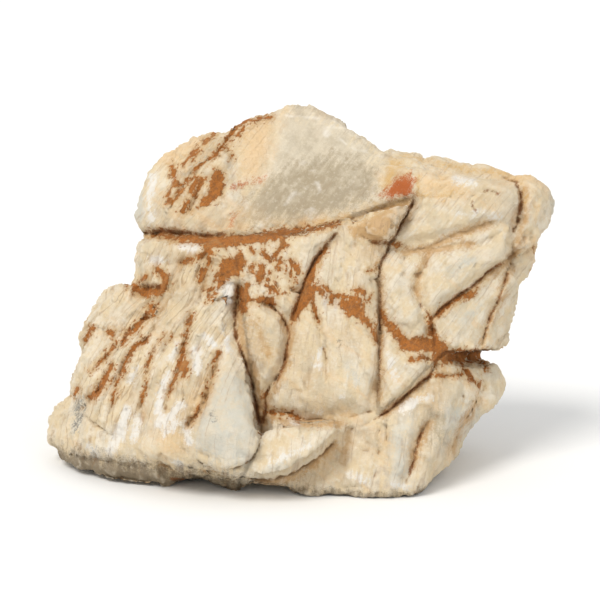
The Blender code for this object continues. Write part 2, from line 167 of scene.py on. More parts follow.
def finished(item):    # gives an object the mesh that its modifiers make
    bpy.context.view_layer.update()
    mesh = bpy.data.meshes.new_from_object(item.evaluated_get(bpy.context.evaluated_depsgraph_get()))
    item.modifiers.clear()
    item.data = mesh


def smoothed(item, rounds, group=""):
    worn = item.modifiers.new("worn", "SMOOTH")
    worn.factor = stoneShape["smoothing"]
    worn.iterations = rounds
    worn.vertex_group = group
    finished(item)


# fine copy of the solid that all the detail is cut into
stoneShape = {
    "grain": 0.75,         # mm between points
    "softening": 15,       # rounds that wear the solid's flat faces away
    "triangles": 196000,
    "wornSoft": 10,        # squares over which a worn area comes in
    "wornDepth": 10,       # mm behind the middle that it reaches
    "wornLeast": 0.01,     # share below which a point stays where it is
    "smoothing": 0.5,      # of the way to its neighbours that a point moves in a round
}

bm = bmesh.new()
bm.from_mesh(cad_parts["rock"].data)
bmesh.ops.remove_doubles(bm, verts=bm.verts, dist=1e-6)
stoneMesh = bpy.data.meshes.new("stone")
bm.to_mesh(stoneMesh)
bm.free()
stone = bpy.data.objects.new("stone_body", stoneMesh)
bpy.context.scene.collection.objects.link(stone)
remesh = stone.modifiers.new("fine grid", "REMESH")
remesh.mode = "VOXEL"
remesh.voxel_size = stoneShape["grain"] * mm
smoothed(stone, stoneShape["softening"])
print("stage: fine copy,", len(stone.data.vertices), "points")

# creases of the solid that the stone doesn't show: rounds of smoothing, outline
wornAway = [
    (420, [60,376, 84,380, 102,398, 120,418, 138,434, 126,456, 98,450, 76,432, 60,404]),
    (260, [396,258, 428,258, 428,286, 396,288]),
    (200, [48,432, 96,444, 140,450, 200,460, 250,466, 256,488, 190,484, 120,474, 48,458]),
]

points, normals = meshArrays(stone.data)
for rounds, outline in wornAway:
    share = areaShare(squaresOf(points, "front"), outline, stoneShape["wornSoft"])
    share = share * (points[:, 1] < stoneShape["wornDepth"])
    worn = stone.vertex_groups.new(name="worn")
    for k in np.flatnonzero(share > stoneShape["wornLeast"]):
        worn.add([int(k)], float(share[k]), "REPLACE")
    smoothed(stone, rounds, worn.name)
    stone.vertex_groups.clear()


# node building
def addNode(tree, kind, values=None, **sockets):
    made = tree.nodes.new(kind)
    for name, value in (values or {}).items():
        setattr(made, name, value)
    for name, value in sockets.items():
        socket = made.inputs[int(name[1:])] if name[0] == "_" else made.inputs[name.replace("_", " ")]
        if isinstance(value, bpy.types.NodeSocket):
            tree.links.new(value, socket)
        else:
            socket.default_value = value
    return made


def maths(operation, tree, *values):
    sockets = {f"_{k}": value for k, value in enumerate(values)}
    return addNode(tree, "ShaderNodeMath", {"operation": operation}, **sockets).outputs[0]


times, minus, over, most, timesPlus, sizeOf = (
    partial(maths, operation)
    for operation in ("MULTIPLY", "SUBTRACT", "DIVIDE", "MAXIMUM", "MULTIPLY_ADD", "ABSOLUTE"))


def plus(tree, total, *others):
    for other in others:
        total = maths("ADD", tree, total, other)
    return total


def centred(tree, value, gain=1.0):    # a noise's value, above and below 0
    return times(tree, minus(tree, value, 0.5), gain)


def ramp(tree, value, low, high, lowOut=0.0, highOut=1.0):
    step = addNode(tree, "ShaderNodeMapRange", {"interpolation_type": "SMOOTHSTEP"},
                   Value=value, From_Min=low, From_Max=high, To_Min=lowOut, To_Max=highOut)
    return step.outputs[0]


def mixed(tree, factor, first, second):
    mix = addNode(tree, "ShaderNodeMix", {"data_type": "RGBA"}, _0=factor, _6=first, _7=second)
    return mix.outputs[2]


def blended(tree, factor, first, second):    # two plain values
    return addNode(tree, "ShaderNodeMix", _0=factor, _2=first, _3=second).outputs[0]


def grainNoise(tree, place, perMm, detail=4.0, rough=0.6):
    made = addNode(tree, "ShaderNodeTexNoise", Vector=place, Scale=perMm, Detail=detail, Roughness=rough)
    return made.outputs[0]


def vectors(tree, operation, first, second=None, scale=None):
    given = {"_0": first, "_1": second, "Scale": scale}
    sockets = {name: value for name, value in given.items() if value is not None}
    return addNode(tree, "ShaderNodeVectorMath", {"operation": operation}, **sockets).outputs


def scaled(tree, place, scale):
    return vectors(tree, "SCALE", place, scale=scale)[0]


def layerPlace(tree, place, along):    # the place, pressed together along the layers
    across = Vector(layerAcross).normalized()
    depth = vectors(tree, "DOT_PRODUCT", place, across)["Value"]
    return vectors(tree, "ADD", scaled(tree, place, along), scaled(tree, across[:], depth))[0]


# areas that swell or fall back: rise in mm, squares over which it comes in, outline as x and y in turn
swells = {"front": [
    (-4.0, 26, [40,450, 70,456, 94,464, 116,458, 140,464, 164,475, 190,468, 216,478, 240,473, 262,480,
        262,506, 180,506, 90,500, 40,484]),
    (-1.6, 12, [258,478, 280,474, 300,466, 318,454, 334,440, 345,426, 372,426, 380,450, 350,474, 320,490,
        280,500, 255,500]),
    (1.4, 14, [244,306, 256,302, 268,304, 280,314, 288,330, 287,348, 280,372, 268,388, 258,410, 250,376,
        240,350, 237,325]),
    (1.8, 16, [224,366, 243,360, 254,392, 260,430, 256,450, 238,468, 214,464, 196,452, 192,430, 206,396]),
    (1.2, 10, [262,426, 290,416, 340,422, 326,442, 300,462, 268,474, 250,468, 258,440]),
    (-2.4, 7, [130,284, 146,283, 164,284, 168,292, 146,298, 130,296]),
    (2.2, 16, [70,380, 92,372, 110,392, 122,424, 116,446, 92,430, 74,406]),
    (1.0, 12, [404,256, 424,262, 418,292, 424,318, 412,336, 394,326, 384,306, 384,276]),
    (1.1, 10, [424,254, 450,246, 480,244, 506,228, 512,240, 504,258, 470,284, 440,306, 428,308, 420,290]),
    (-1.0, 10, [434,322, 458,300, 500,270, 494,304, 482,346, 444,346]),
    (0.9, 8, [410,244, 450,228, 506,214, 508,224, 464,238, 424,248]),
    (0.8, 16, [300,300, 330,250, 376,262, 378,330, 376,400, 330,412, 280,408, 290,350]),
    (0.9, 10, [384,330, 398,352, 428,364, 420,380, 386,406, 382,372]),
    (0.9, 10, [436,380, 460,380, 464,404, 440,410, 424,414, 410,404]),
    (0.9, 8, [490,364, 504,372, 504,396, 488,408, 480,396]),
    (-1.2, 8, [430,410, 452,414, 452,436, 444,444, 428,432]),
    (1.0, 10, [524,176, 548,184, 552,204, 540,236, 522,240, 522,204]),
    (0.8, 10, [146,242, 190,242, 200,252, 180,262, 150,264, 138,254]),
    (1.6, 8, [232,284, 238,290, 236,330, 226,330, 222,300]),
    (0.8, 12, [392,412, 424,420, 414,450, 404,486, 384,486, 386,440]),
    (-0.8, 12, [348,428, 374,424, 376,460, 366,486, 344,470]),
], "back": [
    (2.2, 18, [252,150, 300,130, 340,150, 400,170, 466,220, 466,246, 420,234, 330,252, 252,246]),
    (1.8, 16, [250,262, 310,266, 322,310, 316,360, 300,420, 256,424, 244,380, 250,310]),
    (-1.8, 14, [334,268, 384,264, 394,320, 380,380, 384,404, 330,430, 308,424, 326,360, 318,316]),
    (1.6, 14, [396,270, 430,262, 440,320, 428,380, 432,404, 394,400, 384,370, 400,330]),
    (2.0, 16, [90,268, 150,274, 236,258, 244,300, 234,350, 204,390, 186,366, 150,300, 112,300]),
    (1.6, 14, [120,400, 200,400, 244,386, 244,430, 200,456, 140,450]),
    (-2.0, 14, [250,430, 310,434, 376,426, 384,466, 300,470, 244,462]),
    (1.8, 12, [388,408, 440,414, 510,424, 516,446, 450,462, 396,460]),
    (-1.4, 12, [170,186, 200,180, 240,200, 240,246, 180,256, 166,220]),
    (1.2, 12, [446,300, 480,312, 500,340, 500,390, 450,396, 440,350]),
]}

# how strongly the weather has marked areas of the front, 1 where nothing is said
weathered = [
    (0.5, 12, [128,230, 130,190, 146,160, 166,148, 172,164, 160,196, 158,230]),
    (0.12, 14, [262,116, 300,104, 330,116, 352,134, 372,150, 412,160, 416,196, 380,204, 330,222, 240,232,
        236,200, 250,160]),
    (0.45, 14, [222,372, 243,366, 254,392, 260,430, 256,450, 238,468, 214,464, 192,450, 192,430, 206,400]),
    (0.6, 16, [300,330, 340,318, 376,330, 378,400, 330,412, 280,408, 288,360]),
    (0.5, 14, [400,180, 520,176, 516,300, 484,348, 434,340, 420,300, 396,250]),
]

# surface relief that follows the stone all round, sizes and heights in mm
relief = {
    "Lump Size": 12.0, "Lump Height": 3.2,
    "Grit Size": 2.4, "Grit Height": 0.6,
    "Chip Size": 7.5, "Chip Slope": 0.16,
    "Layer Size": 3.6, "Layer Height": 0.8,
    "Fibre Size": 4.5, "Fibre Height": 0.85,
    "Fold Size": 5.5, "Fold Height": 3.4,
}
layerAcross = (0.62, 0.25, 0.74)    # the way across the layers
layerAlong = 0.16                   # how little they change along their own way
chipBend = 5.0                      # mm by which the chips' edges bend
bendPerMm = 0.2                     # how often they do
creaseWidth = 0.12                  # of the noise's value, beside a valley's floor


def startTree(name, sizes):
    tree = bpy.data.node_groups.new(name, "GeometryNodeTree")
    tree.interface.new_socket("Geometry", in_out="INPUT", socket_type="NodeSocketGeometry")
    for size, value in sizes.items():
        tree.interface.new_socket(size, in_out="INPUT", socket_type="NodeSocketFloat").default_value = value
    tree.interface.new_socket("Geometry", in_out="OUTPUT", socket_type="NodeSocketGeometry")
    return tree, tree.nodes.new("NodeGroupInput").outputs, tree.nodes.new("NodeGroupOutput").inputs


def addRelief(item, sizes, paint):
    tree, given, result = startTree("weathered surface", sizes)
    place = scaled(tree, tree.nodes.new("GeometryNodeInputPosition").outputs[0], 1 / mm)

    def named(name, kind="FLOAT"):
        field = addNode(tree, "GeometryNodeInputNamedAttribute", {"data_type": kind}, Name=name)
        return field.outputs["Attribute"]

    def bumps(where, name, detail, rough):    # noise about 0, of a named size
        return centred(tree, grainNoise(tree, where, over(tree, 1.0, given[name + " Size"]), detail, rough))

    def heights(where, name, detail, rough):
        return times(tree, bumps(where, name, detail, rough), given[name + " Height"])

    def creases(where, name):    # sharp valleys between smooth backs
        backs = sizeOf(tree, bumps(where, name, 2.0, 0.5))
        return times(tree, ramp(tree, backs, 0.0, creaseWidth, -1.0, 0.0), given[name + " Height"])

    flow = named("flow", "FLOAT_VECTOR")
    layered = named("layered")
    bend = addNode(tree, "ShaderNodeTexNoise", Vector=place, Scale=bendPerMm, Detail=2.0).outputs["Color"]
    bent = vectors(tree, "ADD", place, scaled(tree, bend, chipBend))[0]
    cells = addNode(tree, "ShaderNodeTexVoronoi", Vector=bent, Scale=over(tree, 1.0, given["Chip Size"]))
    reach = vectors(tree, "SUBTRACT", bent, cells.outputs["Position"])[0]
    lean = vectors(tree, "SUBTRACT", cells.outputs["Color"], (0.5, 0.5, 0.5))[0]
    total = plus(
        tree,
        heights(place, "Lump", 3.0, 0.5),
        heights(place, "Grit", 4.0, 0.6),
        times(tree, creases(layerPlace(tree, place, layerAlong), "Layer"), layered),
        times(tree, creases(flow, "Fibre"), named("fibrous")),
        times(tree, heights(flow, "Fold", 2.0, 0.45), minus(tree, 1.0, layered)),
        times(tree, vectors(tree, "DOT_PRODUCT", reach, lean)["Value"], given["Chip Slope"]))
    total = times(tree, times(tree, total, named("weather")), mm)
    shift = scaled(tree, tree.nodes.new("GeometryNodeInputNormal").outputs[0], total)
    moved = addNode(tree, "GeometryNodeSetPosition", Geometry=given["Geometry"], Offset=shift).outputs[0]
    whole = addNode(tree, "GeometryNodeRealizeInstances", Geometry=moved).outputs[0]
    painted = addNode(tree, "GeometryNodeSetMaterial", Geometry=whole, Material=paint).outputs[0]
    tree.links.new(painted, result["Geometry"])
    modifier = item.modifiers.new("weather", "NODES")
    modifier.node_group = tree
    for socket in tree.interface.items_tree:
        if socket.in_out == "INPUT" and socket.name in sizes:
            modifier[socket.identifier] = sizes[socket.name]
    finished(item)


# the way that water has run down the front: leans are squares across for each square down, and
# edges between the regions are squares down and squares across
waterRuns = {
    "upperLean": 0.45,
    "fan": {"from": 300, "height": 140, "lean": 0.85, "bend": 0.0025},
    "middleLean": 0.15,
    "rightLean": 0.8,
    "capLean": 0.75,
    "lobeEdge": ([240, 281, 431, 450, 466, 480], [232, 238, 260, 257, 249, 240]),
    "blendEnds": (272, 288),                # squares down where the lobe's edge gets sharp
    "blend": (1.5, 24),                     # squares that it is soft over, and more above there
    "longCrack": ([200, 220, 235, 245, 254, 263, 277, 400], [414, 403, 396, 389, 387, 381, 379.5, 378]),
    "lowCrack": (416, 376, 0.91, 352),      # squares down at a place across, rise, and highest place
    "crackSoft": 1.5,
    "capEdge": (230, 236, 300, 0.33),       # squares down, and rise to the right of a place across
    "squeeze": 0.13,
}


def flowSpots(spots):    # squares across and along that way
    x, y = spots.T
    fan = waterRuns["fan"]
    low = np.clip(y - fan["from"], 0, fan["height"])
    leaning = waterRuns["upperLean"] * np.minimum(y, fan["from"])
    leaning = leaning + fan["lean"] * low - fan["bend"] * low ** 2
    lobeEdge = np.interp(y, *waterRuns["lobeEdge"])
    sharp, more = waterRuns["blend"]
    blend = sharp + more * (1 - smoothStep(*waterRuns["blendEnds"], y))
    longCrack = np.interp(y, *waterRuns["longCrack"])
    crackDown, crackAcross, crackRise, crackTop = waterRuns["lowCrack"]
    lowCrack = np.maximum(crackDown - crackRise * (x - crackAcross), crackTop)
    soft = waterRuns["crackSoft"]
    capLow, capHigh, capAcross, capRise = waterRuns["capEdge"]
    regions = (
        ("middleLean", smoothStep(-1, 1, (x - lobeEdge) / blend)),
        ("rightLean", smoothStep(-soft, soft, x - longCrack) * smoothStep(-soft, soft, lowCrack - y)),
        ("capLean", 1 - smoothStep(capLow, capHigh, y + capRise * np.maximum(x - capAcross, 0))),
    )
    for lean, share in regions:
        leaning = leaning + (waterRuns[lean] * y - leaning) * share
    return np.stack([x + leaning, y * waterRuns["squeeze"]], axis=1)


# cracks and folds: width in squares, depth in mm, lift in mm of the side to the left of the way
# they run (the other side drops by as much), and the squares that they pass, as x and y in turn
grooves = {"front": [
    # under the cap, and the shelf's front edge
    (4.2, 1.8, 0, [138,231, 148,233, 163,232, 176,233, 188,234, 201,236, 212,237, 224,234]),
    (2.4, 0.6, 0.3, [211,237, 229,236, 254,234, 279,228.5, 320,226, 350,218, 392,203]),
    # the triangular slab
    (3.4, 2.1, 0.8, [381,243, 389.5,242, 396,235, 403,220, 412,206, 415,197]),
    (3.4, 1.4, 0.5, [359,232, 364,237, 374,242, 382,243]),
    (2.2, 0.4, 0.1, [372,218, 383,215, 396,204, 403,202, 413,201]),
    (2, 0.7, 0, [362,234, 369,228, 374,219]),
    # long upright crack
    (3.4, 2, 0.3, [390,243, 387,254, 381,263, 379.5,277, 380,302, 380,346]),
    (2.4, 0.8, 0.3, [380,340, 379.5,369, 378,400, 374,417]),
    (5, 0.6, 0.5, [315,312, 324,335, 327,360, 325,384]),
    (6, 0.5, 0.4, [350,318, 353,340, 362,366, 374,384]), (5, 0.5, -0.4, [296,366, 304,384, 314,400]),
    (3.4, 1, 0, [379,424, 378.5,446, 376,472, 371,483]), (2.2, 0.9, 0, [386,412, 387,431, 386,447]),
    # slanting crack in the middle
    (3.4, 2, -1, [338,231, 326,243, 317,256, 310,268, 302,285, 297,303, 291,320]),
    (3.4, 1.4, 0, [310,300, 315,315, 320,322, 320,340, 327,360, 328,374, 324,386]),
    (2, 0.7, 0, [320,350, 312,368, 308,386]), (2, 0.7, 0, [352,330, 349,345, 353,360, 352,384]),
    (2, 0.8, 0, [292,250, 290,262, 292,275, 291,292]),
    # the lobe's sharp edge
    (3.7, 2.2, -0.7, [238,281, 238,293, 235.5,306, 234,324, 236,341, 242,356, 247,370, 252.5,386,
        254.5,404, 259,424, 259,436]),
    (3.4, 1.3, -1.5, [257,412, 260,426, 260,438, 256,450, 248,461, 236,467, 219,469, 205,465, 194,456]),
    # round the lens
    (3.4, 2.1, 0.5, [256,302, 268,304, 279,313, 286,324, 289,336, 286.5,349, 284.5,363, 279,375, 272,384,
        267.5,392, 266,404, 266,413, 262,423]),
    # top of the lower plate
    (3.4, 1.7, -0.7, [262,424, 266,414, 278,413, 290,414, 302,420, 318,420, 342,421]),
    (3.4, 1.2, 0, [342,421, 354,416, 366,413, 377,411]),
    (3.4, 1, 0, [345,430, 354,428.5, 364,425, 373,420]),
    # below the side notch
    (3.4, 2.1, -0.8, [434,362, 431,374, 422.5,381, 410.5,391, 397,403, 386.5,412, 373,419.5]),
    (3.4, 1.6, 0.3, [430,419, 421,434, 417,447, 414,460, 410,473, 406,490]),
    (3.4, 1.1, 0, [436,381, 433,390, 436,402]), (3.4, 1.2, 0, [460,381, 464,396, 462,410]),
    (3.4, 1.3, -0.5, [485,386, 479,396, 472,410, 464,421, 457,434, 449,452]),
    (3.4, 1.4, 0, [460,365, 466,373, 471,380, 480,386]), (3.4, 1.4, 0, [484,364, 485,372]),
    (3.4, 1.2, 0, [431,375, 445,376, 462,374, 466,372]), (3.4, 1.4, 0, [410,359.5, 421,358, 433,359.5]),
    # right panels
    (8, 0.8, 0.6, [402,251, 420,248, 438,242, 450,235, 464,230, 479,224, 495,220, 509,218]),
    (7, 0.6, 0.4, [420,252, 438,247, 464,242, 476,243, 490,237, 508,226]),
    (4, 0.8, 0, [443,267, 455,255, 472,248, 488,243]),
    (6, 1.1, 0, [430,249, 427,261, 420,272, 416,282, 415.5,294, 419,302, 424,319, 429,334]),
    (3.4, 1, 0, [419,300, 424,304, 428,313, 430,321]),
    (3.4, 1.7, 0.8, [430,321, 434,316, 443,307, 455,297, 469,288, 481,278, 490,270, 504,262]),
    (3.4, 1.8, 0, [428,312, 431,320, 433,333, 434,348]),
    (3.4, 2, 0.7, [500,176, 512,180, 518,185, 521.5,194, 521.5,204, 519,214, 518.5,223, 514.5,230,
        513.5,240]),
    (3.4, 1.5, 0.5, [513.5,240, 513,261, 508,273, 503,288, 496,306, 489,321, 484,336, 482,349]),
    (3.4, 1, 0, [477,192, 484,191, 491,191, 500,195]),
    (2.2, 0.8, 0, [479,195, 472,196, 470,201, 472,206, 478,213]),
    (2.4, 0.7, 0, [404,252, 404,276, 400,300, 392,318]), (3, 0.8, 0, [452,198, 448,215, 452,232]),
    # shelf of the right block
    (2.4, 0.8, 0.5, [466,196, 440,197, 417,197]), (2.2, 0.9, 0.3, [419,175, 418,185, 418,196]),
    # folds left of the long crack
    (6, 0.8, 0, [359,238, 352,250, 343,268, 340,277]), (6, 0.7, 0, [339,242, 334,261, 333,277]),
    (6, 0.6, 0, [376,262, 368,278, 366,288]),
    # cap end
    (3.4, 1.2, 0.3, [240,122, 236,126, 229,138, 220,149, 211,158]),
    (2, 0.9, 0.2, [211,158, 194,169, 188,179, 181,190, 172,204, 164,218]),
    (3, 0.8, 0, [204,177, 198,190, 193,204, 184,218]), (3, 0.6, 0, [186,152, 176,168, 170,186, 166,204]),
    (4, 0.6, 0, [160,166, 154,186, 152,206, 154,222]), (3, 0.5, 0, [222,170, 214,190, 204,208]),
    # pocket and bumps on the left
    (5.1, 2, 0, [134,287, 146,286, 158,287, 164,284]), (4, 1.2, 0, [145,268, 148,276, 150,284]),
    (4, 1, 0, [157,266, 160,275, 162,284]), (5, 1, 0, [196,257, 184,261, 172,264, 160,262]),
    (4, 1.2, 0, [208,248, 204,256, 194,262]),
    # the fan of folds
    (5, 1.3, 0.3, [153,304, 147,315, 136,327, 126,334, 121,344, 110,356, 100,366]),
    (5, 1.4, 0.3, [158,326, 147,339, 136,347, 131,352, 125,362, 118,376, 112,388]),
    (4, 1, 0, [124,366, 117,386, 113,400, 110,424]),
    (6, 1.3, 0.3, [118,354, 108,374, 100,386, 91,398, 84,412]),
    (4, 1, 0, [117,341, 108,354, 94,370, 84,382]),
    (5, 1.1, 0, [154,347, 150,359, 147,377, 143,402, 141,424]), (5, 1.2, 0.3, [165,334, 156,345, 152,360]),
    (4, 0.8, 0, [172,336, 164,350, 160,372, 158,398, 157,420]),
    (4.4, 1.5, 0.3, [192,306, 191,315, 188,329, 184,345, 179,366, 172,384, 167,400, 165,416]),
    (5, 1.4, -0.5, [220,350, 213,370, 206,395, 197,413, 188,424, 184,440]),
    (4, 0.8, 0, [200,340, 196,362, 190,384, 182,408]), (3, 0.7, 0, [92,326, 86,340, 82,356]),
    (4, 0.8, 0, [104,300, 100,322, 94,344]), (3.4, 0.9, 0, [200,262, 196,280, 192,300, 191,312]),
    (3.4, 0.8, 0, [186,268, 180,288, 170,306, 158,322]),
    (3.4, 0.9, 0, [214,256, 209,272, 203,288, 198,306]), (3.4, 0.8, 0, [176,268, 170,284, 160,300]),
    (3, 0.8, 0, [230,282, 219,292, 208,302, 200,318]), (3, 0.6, 0, [182,300, 174,316, 168,330]),
    (3, 0.8, 0, [262,252, 270,262, 264,272, 260,284]),
    (3, 0.8, 0, [284,246, 276,254, 272,264, 276,280, 278,294]),
    (3, 0.7, 0, [240,252, 246,266, 250,284, 250,298]),
    # where the faces turn under
    (7, 0.8, 1.0, [58,452, 94,458, 129,462, 165,464, 192,468, 219,472, 236,475]),
    (4, 1.6, 2.2, [238,477, 262,479, 286,475, 306,465, 322,453, 338,437]),
    (2.4, 0.8, 0, [290,487, 324,491, 342,488, 366,486]),
    (2.4, 0.7, 0, [347,446, 346,460, 343,477, 338,488]),
], "back": [
    (3.4, 1.5, 1.5, [250,150, 252,200, 240,250, 250,300, 238,360, 246,430]),
    (3.4, 1.4, 1.4, [80,262, 150,268, 240,252, 330,258, 420,240, 470,262]),
    (4, 1.6, 1.2, [388,262, 398,330, 380,400, 390,470]),
    (4, 1.6, -1.3, [120,270, 112,330, 150,392, 210,396, 246,380]),
    (5, 1.2, 0.9, [330,262, 310,320, 320,372, 300,440]), (5, 1.2, 0, [430,270, 446,330, 430,390, 444,450]),
    (4, 1.2, 0.9, [300,140, 290,190, 300,236]), (4, 1.2, 0, [170,180, 178,220, 166,262]),
    (4, 1.4, 0.9, [380,404, 440,410, 510,420]), (3.4, 1, 0, [150,300, 176,330, 180,366, 200,396]),
    (3.4, 1, 0, [270,280, 284,316, 276,350, 290,392]), (3.4, 1, 0, [350,290, 360,330, 352,372]),
    (3, 0.9, 0.9, [404,300, 450,306, 490,330]), (3, 0.9, 0, [330,160, 350,200, 340,240]),
    (3, 0.9, 0, [380,180, 396,210, 420,236]), (3, 0.9, 0, [200,200, 220,222, 240,232]),
    (3, 0.8, 0.9, [250,420, 310,428, 376,420]), (3, 0.8, 0, [460,300, 480,350, 500,390]),
], "left": [
    (4, 1.6, 0.7, [210,300, 250,340, 262,400, 250,450]),
    (4, 1.4, 0.5, [300,250, 310,320, 300,390, 316,450]), (4, 1.3, 0, [370,290, 360,350, 390,420]),
    (4, 1.4, 0.7, [190,430, 260,440, 340,436, 420,446]), (3.4, 1, 0, [280,290, 276,340, 284,390]),
    (3.4, 1, 0, [330,280, 336,330, 326,384, 340,430]), (3, 0.9, 0, [240,160, 252,190, 250,220]),
    (3, 0.9, 0, [300,130, 310,170, 300,220]), (3, 0.9, 0, [350,150, 352,190, 366,230]),
], "right": [
    (4, 1.6, 0.8, [210,270, 270,276, 340,262, 400,272]),
    (4, 1.4, 0.5, [320,190, 316,240, 330,300, 318,340]),
    (4, 1.4, 0.5, [250,370, 300,364, 360,372, 420,366]), (4, 1.2, 0, [290,380, 300,430, 290,470]),
    (3.4, 1, 0, [270,200, 262,240, 276,280]), (3.4, 1, 0.5, [230,310, 270,322, 310,312]),
    (3, 0.9, 0, [350,390, 344,430, 356,460]), (3, 0.9, 0, [370,200, 376,240, 366,280]),
], "top": [
    (4, 1.6, 0.7, [130,300, 200,286, 280,300, 350,280, 430,290, 530,280]),
    (4, 1.2, 0.5, [300,220, 320,260, 300,330, 310,380]), (4, 1.2, 0, [440,210, 430,260, 450,330]),
    (3, 0.9, 0, [220,250, 240,290, 230,340]), (3, 0.9, 0, [370,230, 380,270, 372,330]),
]}
grooveShape = {
    "liftReach": 14.0,    # squares over which a lifted edge runs out
    "endReach": 7.0,      # squares over which a line's end gets shallow
    "endShare": 0.25,     # of the depth at the very end
    "softFrom": 4.5,      # squares of width from which a line is a rounded fold and no crack
    "sharpness": 1.6,     # of a crack's floor
    "wander": 1.1,        # squares that a drawn line strays by
    "wanderSize": 5.0,    # squares
    "finerShare": 0.5,    # of a finer wandering on top of it
    "finerTimes": 2.6,    # how much finer it is
    "uneven": 0.7 * 1.6,  # how far a groove's depth comes and goes
    "unevenSize": 3.0,    # mm
    "unevenEnds": (0.35, 1.6),
    "fadeSize": 13.0,     # mm, over which the cracks of the other sides fade and return
    "fadeMiddle": 0.8,
    "fade": 2.2,
    "fadeEnds": (0.06, 1.3),
}


def noiseAt(points, size):
    return np.array([noise.noise(Vector(point) / size) for point in points])


def strayAt(points, size, finer):
    return np.array([noise.noise_vector(Vector(point) / size * finer)[:2] for point in points])


def strayed(spots, points):    # small natural wandering of all the drawn lines
    size = grooveShape["wanderSize"] * drawing["square"]
    stray = strayAt(points, size, 1.0)
    stray += grooveShape["finerShare"] * strayAt(points, size, grooveShape["finerTimes"])
    return spots + grooveShape["wander"] * stray


def cutGrooves(points, normals):
    rule = grooveShape
    liftReach = rule["liftReach"]
    cut = points.copy()
    for side, rows in grooves.items():
        away = sideAxes(side)[2]
        seen = np.flatnonzero(facing(normals, side) > 0)
        share = facing(normals[seen], side)
        spots = strayed(squaresOf(points[seen], side), points[seen])
        vary = np.clip(1 + rule["uneven"] * noiseAt(points[seen], rule["unevenSize"]), *rule["unevenEnds"])
        if side != "front":
            fade = rule["fadeMiddle"] + rule["fade"] * noiseAt(points[seen], rule["fadeSize"])
            vary = vary * np.clip(fade, *rule["fadeEnds"])
        shift, deepest = np.zeros(len(seen)), np.zeros(len(seen))
        for width, depth, lift, numbers in rows:
            line = rounded(numbers)
            near = nearBox(spots, line, liftReach * 2 if lift else width * 1.3)
            gap, hand = gapToLine(spots[near], line)
            nearness = np.clip(1 - gap / (width * vary[near] ** 0.5), 0, 1)
            ends = np.minimum(*(np.linalg.norm(spots[near] - line[k], axis=1) for k in (0, -1)))
            shallow = rule["endShare"] + (1 - rule["endShare"]) * smoothStep(0, rule["endReach"], ends)
            form = smoothStep(0, 1, nearness) if width > rule["softFrom"] else nearness ** rule["sharpness"]
            deepest[near] = np.maximum(deepest[near], depth * vary[near] * shallow * form)
            if lift:
                fade = np.exp(-gap / liftReach) * smoothStep(0, liftReach, ends)
                fade = fade * (1 - smoothStep(liftReach, 2 * liftReach, gap))
                shift[near] += lift * hand * fade
        cut[seen] += ((deepest - shift) * share)[:, None] * away
    return cut


points, normals = meshArrays(stone.data)
for side, shapes in swells.items():
    away = sideAxes(side)[2]
    spots = strayed(squaresOf(points, side), points)
    rise = sum(height * areaShare(spots, outline, soft) for height, soft, outline in shapes)
    points = points - (rise * facing(normals, side))[:, None] * away
movePoints(stone.data, points)

# fibres show on the fan and less on the cap's end: how much, squares it comes in over, outline
fibreAreas = [
    (1, 16, [60,240, 236,236, 240,330, 226,372, 196,440, 50,460]),
    (0.5, 12, [120,120, 232,110, 238,150, 236,215, 200,236, 120,236]),
]
frontLayers = 0.35    # how much of the layers shows on the front

points, normals = meshArrays(stone.data)
spots = squaresOf(points, "front")
share = facing(normals, "front")
weather = np.ones(len(points))
for amount, soft, outline in weathered:
    weather = np.minimum(weather, 1 - (1 - amount) * areaShare(spots, outline, soft) * (share > 0))
keepField(stone.data, "weather", weather)
fibrous = sum(amount * areaShare(spots, outline, soft) for amount, soft, outline in fibreAreas)
keepField(stone.data, "fibrous", fibrous * share)
keepField(stone.data, "layered", 1 - (1 - frontLayers) * share)
flow = flowSpots(spots) * drawing["square"]
keepField(stone.data, "flow", np.column_stack([flow, np.zeros(len(flow))]), "FLOAT_VECTOR")
stonePaint = bpy.data.materials.new("weatheredStone")
addRelief(stone, relief, stonePaint)
print("stage: surface weathered")

points, normals = meshArrays(stone.data)
points = cutGrooves(points, normals)
points[:, 2] = np.maximum(points[:, 2], 0)
movePoints(stone.data, points)
print("stage: cracks cut")

thin = stone.modifiers.new("fewer faces", "DECIMATE")
thin.ratio = stoneShape["triangles"] / (2 * len(stone.data.polygons))
finished(stone)
stone.data.polygons.foreach_set("use_smooth", np.ones(len(stone.data.polygons), dtype=bool))
print("stage: thinned to", len(stone.data.polygons), "faces")

